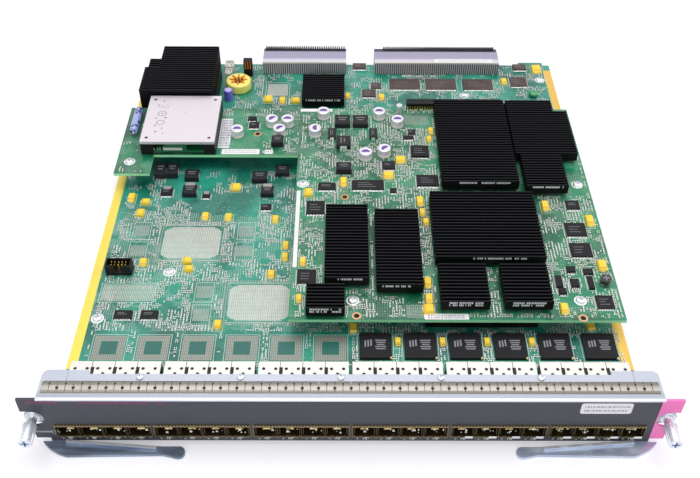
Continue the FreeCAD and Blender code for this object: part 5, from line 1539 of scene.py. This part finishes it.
def label(name, x0, y0, x1, y1, z, corner, rows, finish_slot, gap=0.35, seed=1, upright=False):
    """A white label between two corners, with rows of bars. Upright labels stand on the panel."""
    points = rounded(x1 - x0, y1 - y0, corner)
    sheet = [(px + (x0 + x1) / 2, py + (y0 + y1) / 2) for px, py in points]
    count = len(sheet)
    thick = 0.12
    base = 0.0 if upright else z
    corners = [at(px, py, base + dz) for dz in (0.0, thick) for px, py in sheet]
    faces = [tuple(reversed(range(count))), tuple(range(count, 2 * count))]
    faces += [(k, (k + 1) % count, (k + 1) % count + count, k + count) for k in range(count)]
    piece = new_piece(name, mesh_of(name, corners, faces), label_stock)
    print_places, print_sizes = [], []
    widths = random.Random(seed)
    for share, height in rows:
        x = x0 + 0.08 * (x1 - x0)
        while x < x1 - 0.1 * (x1 - x0):
            width = widths.uniform(0.4, 1.4)
            print_places.append((x + width / 2, y0 + share * (y1 - y0), base + thick + 0.02))
            print_sizes.append((width, height, 1))
            x += width + gap + widths.random() * 0.5
    parts = [piece]
    if print_places:
        parts.append(stamped(name + "_bars", square, print_places, print_sizes, finish=print_ink))
    for part in parts:
        if upright:
            tipped(part)
        keep(part)


label("panel_label", 134.5, 28.2, 164.8, 38.2, 0, 1.6, [(0.66, 1.5), (0.3, 1.6)], "panel_paint", upright=True)
label("side_strip", -40.2, 127.0, -37.2, 208.0, upper_top, 0.4, [], "daughter_green")
label("module_label", -105.2, 259.5, -96.0, 298.0, upper_top, 0.5,
      [(0.08 + 0.085 * k, 2.4) for k in range(11)], "daughter_green", gap=0.12, seed=3)
label("front_strip", -101.5, 251.6, -71.5, 258.0, upper_top, 0.5, [(0.66, 0.7), (0.36, 0.7)],
      "daughter_green", seed=4)
label("short_strip", -67.5, 252.2, -61.0, 257.2, upper_top, 0.4, [(0.5, 1.4)], "daughter_green", seed=5)
label("rear_strip", -41.0, 308.6, -14.5, 312.4, upper_top, 0.4, [], "daughter_green")
label("edge_label", 48.5, 76.8 + 2.6, 78.0, 84.4, upper_top, 0.8, [(0.68, 1.1), (0.3, 1.1)],
      "daughter_green", seed=6)
label("connector_label", 76.0, 388.0, 129.0, 393.5, drawn_box("backplane_wafers_right")[1].z + 0.3, 0.4,
      [(0.5, 0.9)], "connector_grey", seed=7)

# %% [markdown]
# ## Print on the heat sinks
# Each heat sink carries a short row of white ink along the top of its front fin. It is drawn as plain
# bars less than two millimetres high.

# %% Heat sink print
sink_print = {"sink_left": (0.30, 0.85), "sink_centre": (0.12, 0.75), "sink_wide": (0.34, 0.82),
              "sink_tall": (0.22, 0.88), "sink_front_middle": (0.16, 0.84), "sink_front_right": (0.16, 0.84),
              "sink_corner": (0.10, 0.92), "hub_sink": (0.10, 0.90), "sink_stepped": (0.10, 0.60),
              "under_sink": (0.30, 0.70)}
ink = random.Random(9)
places, sizes = [], []
for node, (start, end) in sink_print.items():
    low, high = drawn_box(node)
    left = low.x + 3.5 if node == "sink_stepped" else low.x
    x = left + start * (high.x - left)
    rows = (1.5, 3.7) if node in ("sink_corner", "sink_front_middle", "sink_front_right") else (1.9,)
    while x < left + end * (high.x - left):
        width = ink.uniform(0.5, 1.0)
        for drop in rows:
            if ink.random() < 0.85:
                places.append((x + width / 2, high.z - drop, low.y))
                sizes.append((width, 1.7, 1))
        x += width + 0.35
sink_bars = tipped(stamped("sink_print", square, [(x, up, 0.0) for x, up, _ in places], sizes,
                           finish=white_ink))
# every bar has four corners: each is moved back to the front fin of its own heat sink
vertices = sink_bars.data.vertices
for index, (_, _, front) in enumerate(places):
    for vertex in vertices[4 * index:4 * index + 4]:
        vertex.co.y += (front - 0.04) * MM
keep(sink_bars)

# %% [markdown]
# ## Rows of bars
# The backplane connectors are stacks of thin wafers, and the contact strip is a row of springy fingers.
# Both are one bar repeated along a line, so one tree makes them: a line of points, and a shape on each.


# %% Row tree
def row_tree():
    tree, given = new_tree("row", Count=("Int", 10), Start=("Vector", None), Step=("Vector", None),
                           Shape=("Object", None), Size=("Vector", None), Finish=("Material", None),
                           Tin=("Material", None))
    line = result(add_node(tree, "GeometryNodeMeshLine", {
        "Count": given["Count"], "Start Location": given["Start"], "Offset": given["Step"]}, mode="OFFSET"))
    shape = add_node(tree, "GeometryNodeObjectInfo", {"Object": given["Shape"]}).outputs["Geometry"]
    copies = result(add_node(tree, "GeometryNodeInstanceOnPoints", {"Points": line, "Instance": shape,
                                                                    "Scale": given["Size"]}))
    end_tree(tree, copies, (given["Finish"], None), (given["Tin"], "tin"))
    return tree


row = row_tree()


def bar_row(name, start, end, pitch, shape, size, finish, tin=None):
    """A row along X of one shape, from start to end on the drawing."""
    count = int(round((end - start[0]) / pitch))
    step = (end - start[0]) / count
    return grow(name, row, Count=count, Start=at(start[0] + step / 2, start[1], start[2]),
                Step=(step * MM, 0, 0), Shape=shape, Size=tuple(c * MM for c in size), Finish=finish,
                Tin=tin or finish)


# %% [markdown]
# ## Contact finger strip
# The strip that touches the neighbouring card's panel is bent from thin sheet and slit into fingers.
# Each finger arches up. The slits come from the front and from the rear by turns, and each ends in a
# small dark hole. The frame carries the bent strip, and the fingers are laid over it as arched leaves.

# %% Fingers
strip_low, strip_high = drawn_box("finger_strip")
strip_depth, strip_rise = strip_high.y - strip_low.y, strip_high.z - strip_low.z
arch = []
for k in range(9):
    t = k / 8
    arch.append((t - 0.5, math.sin(math.pi * t) ** 0.6))
leaf_corners = [(x, y, z + lift) for lift in (0.0, 0.28) for x in (-0.44, 0.44) for y, z in arch]
n = len(arch)
leaf_faces = []
for k in range(n - 1):
    leaf_faces.append((2 * n + k, 3 * n + k, 3 * n + k + 1, 2 * n + k + 1))
    leaf_faces.append((k, k + 1, n + k + 1, n + k))
    leaf_faces.append((k, 2 * n + k, 2 * n + k + 1, k + 1))
    leaf_faces.append((n + k, n + k + 1, 3 * n + k + 1, 3 * n + k))
leaf_faces += [(0, n, 3 * n, 2 * n), (n - 1, 3 * n - 1, 4 * n - 1, 2 * n - 1)]
leaf = shape_of("leaf", (leaf_corners, leaf_faces, None))
FINGER_PITCH = 4.77
fingers = bar_row("strip_fingers", (strip_low.x, (strip_low.y + strip_high.y) / 2, strip_low.z + 0.12),
                  strip_high.x, FINGER_PITCH, leaf, (FINGER_PITCH, strip_depth * 0.92, strip_rise),
                  tin_strip)
fingers.data.polygons.foreach_set("use_smooth", [False] * len(fingers.data.polygons))
keep(fingers)
count = int(round((strip_high.x - strip_low.x) / FINGER_PITCH))
step = (strip_high.x - strip_low.x) / count
dimples, widths = [], []
for k in range(1, count):
    share, width = ((0.30, 2.0), (0.66, 1.2))[k % 2]
    rise = strip_rise * (math.sin(math.pi * share) ** 0.6 + 0.28)
    dimples.append((strip_low.x + k * step, strip_low.y + strip_depth * (0.04 + 0.92 * share),
                    strip_low.z + 0.22 + rise))
    widths.append((width, width, 0.5))
# each small hole at a slit's end is a cup of painted shade
dimple_cup = shape_of("dimple", turned([(0.5, -0.6), (0.5, 0.0)], 10))
keep(stamped("strip_dimples", dimple_cup, dimples, widths, finish=opening_shade))

# %% [markdown]
# ## Backplane connectors
# Each connector is a stack of thin plastic wafers, every wafer carrying its own contacts. The stack
# shows as fine upright ribs in front, a row of contact tips along the front edge of the top, and a comb
# of guide teeth behind. The mating half is darker.


# %% Connector wafers
WAFER_PITCH, TOOTH_PITCH = 1.9, 2.0

def connector(side, teeth_start, teeth_end):
    low, high = drawn_box("backplane_wafers_" + side)
    shell_low, shell_high = drawn_box("backplane_shell_" + side)
    shell_rear = high.y + 6.4
    keep(bar_row("wafer_ribs_" + side, (low.x, low.y - 0.15, main_top), high.x, WAFER_PITCH, block,
                 (1.0, 0.9, high.z - main_top - 1.2), wafer_front))
    keep(bar_row("wafer_tops_" + side, (low.x, (low.y + high.y) / 2 + 0.6, high.z - 0.1), high.x,
                 WAFER_PITCH, block, (1.35, high.y - low.y - 2.4, 0.35), wafer_plastic))
    keep(bar_row("wafer_tips_" + side, (low.x, low.y - 0.1, high.z - 0.9), high.x, WAFER_PITCH, block,
                 (1.0, 1.5, 1.3), bright_tip))
    corners, faces, _ = slab((low.x, high.y, shell_low.z), (high.x, shell_rear, shell_high.z))
    body = new_piece("shell_body_" + side, mesh_of("shell body", [at(*c) for c in corners], faces),
                     shell_plastic)
    keep(body, instead_of=["backplane_shell_" + side])
    keep(bar_row("shell_comb_" + side, (teeth_start, (shell_rear + shell_high.y) / 2, shell_high.z - 14.0),
                 teeth_end, TOOTH_PITCH, block, (1.1, shell_high.y - shell_rear, 12.0), shell_dark))
    keep(bar_row("shell_ridge_" + side, (teeth_start, shell_rear - 1.6, shell_high.z), teeth_end,
                 TOOTH_PITCH, block, (1.1, 3.0, 2.6), shell_dark))

wafer_front = moulded("olive-grey wafer edge", "#59594a", 0.45)
bright_tip = plated("pale contact tip", "#e6e0c8", 0.35, 0.4, 0.5)
shell_dark = moulded("charcoal liquid-crystal polymer", "#232128", 0.5)
connector("left", -76.5, -4.0)
connector("right", 30.5, 132.0)

# %% [markdown]
# ## Small connectors at the rear
# The white connectors are open-topped housings with a polarising rib. The black block beside them has
# a row of sprung contacts in its front. The connector between the two boards shows a row of gold pins.

# %% Rear connectors
housing = shape_of(
    "housing", slab((-0.5, -0.5, 0.0), (0.5, 0.5, 0.55)), slab((-0.5, -0.5, 0.55), (-0.38, 0.5, 1.0)),
    slab((0.38, -0.5, 0.55), (0.5, 0.5, 1.0)), slab((-0.38, 0.38, 0.55), (0.38, 0.5, 1.0)),
    slab((-0.38, -0.5, 0.55), (0.38, -0.40, 0.85)), slab((-0.25, -0.1, 0.5), (-0.13, 0.1, 0.92), "tin"),
    slab((0.13, -0.1, 0.5), (0.25, 0.1, 0.92), "tin"))
boxes = solids_of("white_connectors")
keep(stamped("white_housings", housing, [middle_of(*b) for b in boxes], [tuple(b[1] - b[0]) for b in boxes],
             finish=white_nylon, tin=solder_tin), instead_of=["white_connectors"])
block_low, block_high = drawn_box("rear_block")
orange = moulded("orange insulator", "#d07a3c", 0.4)
contacts = [(block_low.x + 1.6 + 2.2 * k, block_low.y + 0.4, block_high.z - 8.0) for k in range(3)]
contact_shape = shape_of("contact", slab((-0.5, -0.5, 0.0), (0.5, 0.5, 1.0), taper=0.1))
keep(stamped("rear_block_contacts", contact_shape, contacts, (0.8, 1.2, 7.4), finish=orange))

stack_low, stack_high = drawn_box("stack_connector")
keep(bar_row("stack_pins", (stack_low.x, stack_low.y - 0.25, upper_top + 0.1), stack_high.x, 2.0,
             contact_shape, (0.8, 0.5, (stack_high.z - upper_top) * 0.45), gold_plate))

# %% [markdown]
# ## Marks stamped in the power module's baseplate
# The aluminium baseplate is stamped with small circles and dots down its left side. Under its front
# edge show a pale ceramic part and a few pins of the module's own board.

# %% Baseplate stamps
plate_low, plate_high = drawn_box("brick_plate")
plate_top = plate_high.z + 0.02
stamp_ink = moulded("stamped mark in shade", "#77757c", 0.5)
pale_ceramic = moulded("pale ceramic", "#cdd3cb", 0.4)
circles = [(12.5, 37.0, 7.0), (12.8, 25.0, 6.5), (10.0, 46.5, 4.0), (14.8, 46.0, 3.6)]
dots = [(12.5, 37.0, 1.6), (12.0, 54.0, 1.5), (8.0, 49.0, 1.2), (16.0, 31.5, 2.0), (9.0, 21.0, 1.6),
        (15.0, 17.5, 1.4), (10.5, 13.0, 1.8), (16.5, 11.0, 1.2), (8.5, 31.0, 1.5), (31.0, 38.0, 0.9)]
for name, shape, marks in (("plate_circles", thin_ring, circles), ("plate_dots", disc, dots)):
    keep(stamped(name, shape, [(plate_low.x + x, plate_low.y + y, plate_top) for x, y, _ in marks],
                 [(d, d, 1) for _, _, d in marks], finish=stamp_ink))
keep(stamped("module_strip", block, [(plate_low.x + 25.0, plate_low.y + 1.2, upper_top + 4.2)],
             (15.0, 2.0, 2.0), finish=pale_ceramic))
pins = [(plate_low.x + x, plate_low.y + 0.9, upper_top + 1.6) for x in (8.6, 10.4, 13.2, 15.0)]
keep(stamped("module_pins", contact_shape, pins, (0.5, 0.5, 4.6), finish=solder_tin))

# %% [markdown]
# ## Studio
# The card lies on white paper. The floor is seen by the camera as nearly white but still takes the
# card's soft shadow. Behind it the room is plain white to the camera and to reflections, and gives only
# a little light of its own. Three large lamps light the card from above, from the front and the right.


# %% Floor and room
def seen_directly(tree):
    """One for what the camera sees, itself, in a reflection or through something clear."""
    path = add_node(tree, "ShaderNodeLightPath").outputs
    return calculate(tree, "MAXIMUM", path["Is Camera Ray"],
                     calculate(tree, "MAXIMUM", path["Is Glossy Ray"], path["Is Transmission Ray"]))

floor_mesh = mesh_of("floor", [(-3, -3, -0.0003), (3, -3, -0.0003), (3, 3, -0.0003), (-3, 3, -0.0003)],
                     [(0, 1, 2, 3)])
paper, tree, shader, place = start_material("white paper", "#e2e0e6", 0.8)
fibres = mix(tree, speckle(tree, place, 9.0), "#dddbe4", "#e6e4ea")
tree.links.new(fibres, shader.inputs["Base Color"])
tree.links.new(mix(tree, seen_directly(tree), "#000000", "#ffffff"), shader.inputs["Emission Color"])
shader.inputs["Emission Strength"].default_value = 0.36
floor = new_piece("floor", floor_mesh, paper)

world = bpy.data.worlds.new("studio")
scene.world = world
world.use_nodes = True
tree = world.node_tree
tree.nodes.clear()
room = add_node(tree, "ShaderNodeBackground", {"Color": linear("#ffffff"), "Strength": 0.25})
white = add_node(tree, "ShaderNodeBackground", {"Color": linear("#ffffff"), "Strength": 1.0})
both = add_node(tree, "ShaderNodeMixShader", {0: seen_directly(tree), 1: room.outputs[0],
                                            2: white.outputs[0]})
add_node(tree, "ShaderNodeOutputWorld", {"Surface": both.outputs[0]})
print("floor and room ready")


# %% Lamps and camera
def soft_lamp(name, place, size, power):
    """A large lamp that faces the card."""
    data = bpy.data.lights.new(name, "AREA")
    data.shape = "RECTANGLE"
    data.size, data.size_y = size
    data.energy = power
    lamp = bpy.data.objects.new(name, data)
    lamp.location = place
    lamp.rotation_euler = (-lamp.location).to_track_quat("-Z", "Y").to_euler()
    scene.collection.objects.link(lamp)


soft_lamp("lamp_above", (0.0, 0.15, 1.5), (1.6, 1.2), 17)
soft_lamp("lamp_front", (-0.3, -1.4, 0.8), (1.4, 0.8), 8.5)
soft_lamp("lamp_right", (1.4, 0.2, 0.9), (0.9, 0.9), 5)

camera_data = bpy.data.cameras.new("camera")
camera_data.lens = 47.74
camera_data.sensor_width = 36.0
camera = bpy.data.objects.new("camera", camera_data)
pitch, yaw, roll = math.radians(43.804), math.radians(0.498), math.radians(0.519)
forward = Vector((math.sin(yaw) * math.cos(pitch), math.cos(yaw) * math.cos(pitch), -math.sin(pitch)))
level = Vector((math.cos(yaw), -math.sin(yaw), 0.0))
above = level.cross(forward)
rightward = math.cos(roll) * level + math.sin(roll) * above
upward = math.cos(roll) * above - math.sin(roll) * level
camera.matrix_world = Matrix.Translation((-0.00436, -0.52322, 0.48212)) @ Matrix(
    (rightward, upward, -forward)).transposed().to_4x4()
scene.collection.objects.link(camera)
scene.camera = camera
scene.view_settings.view_transform = "Standard"
print("camera at", [round(c, 3) for c in camera.location])
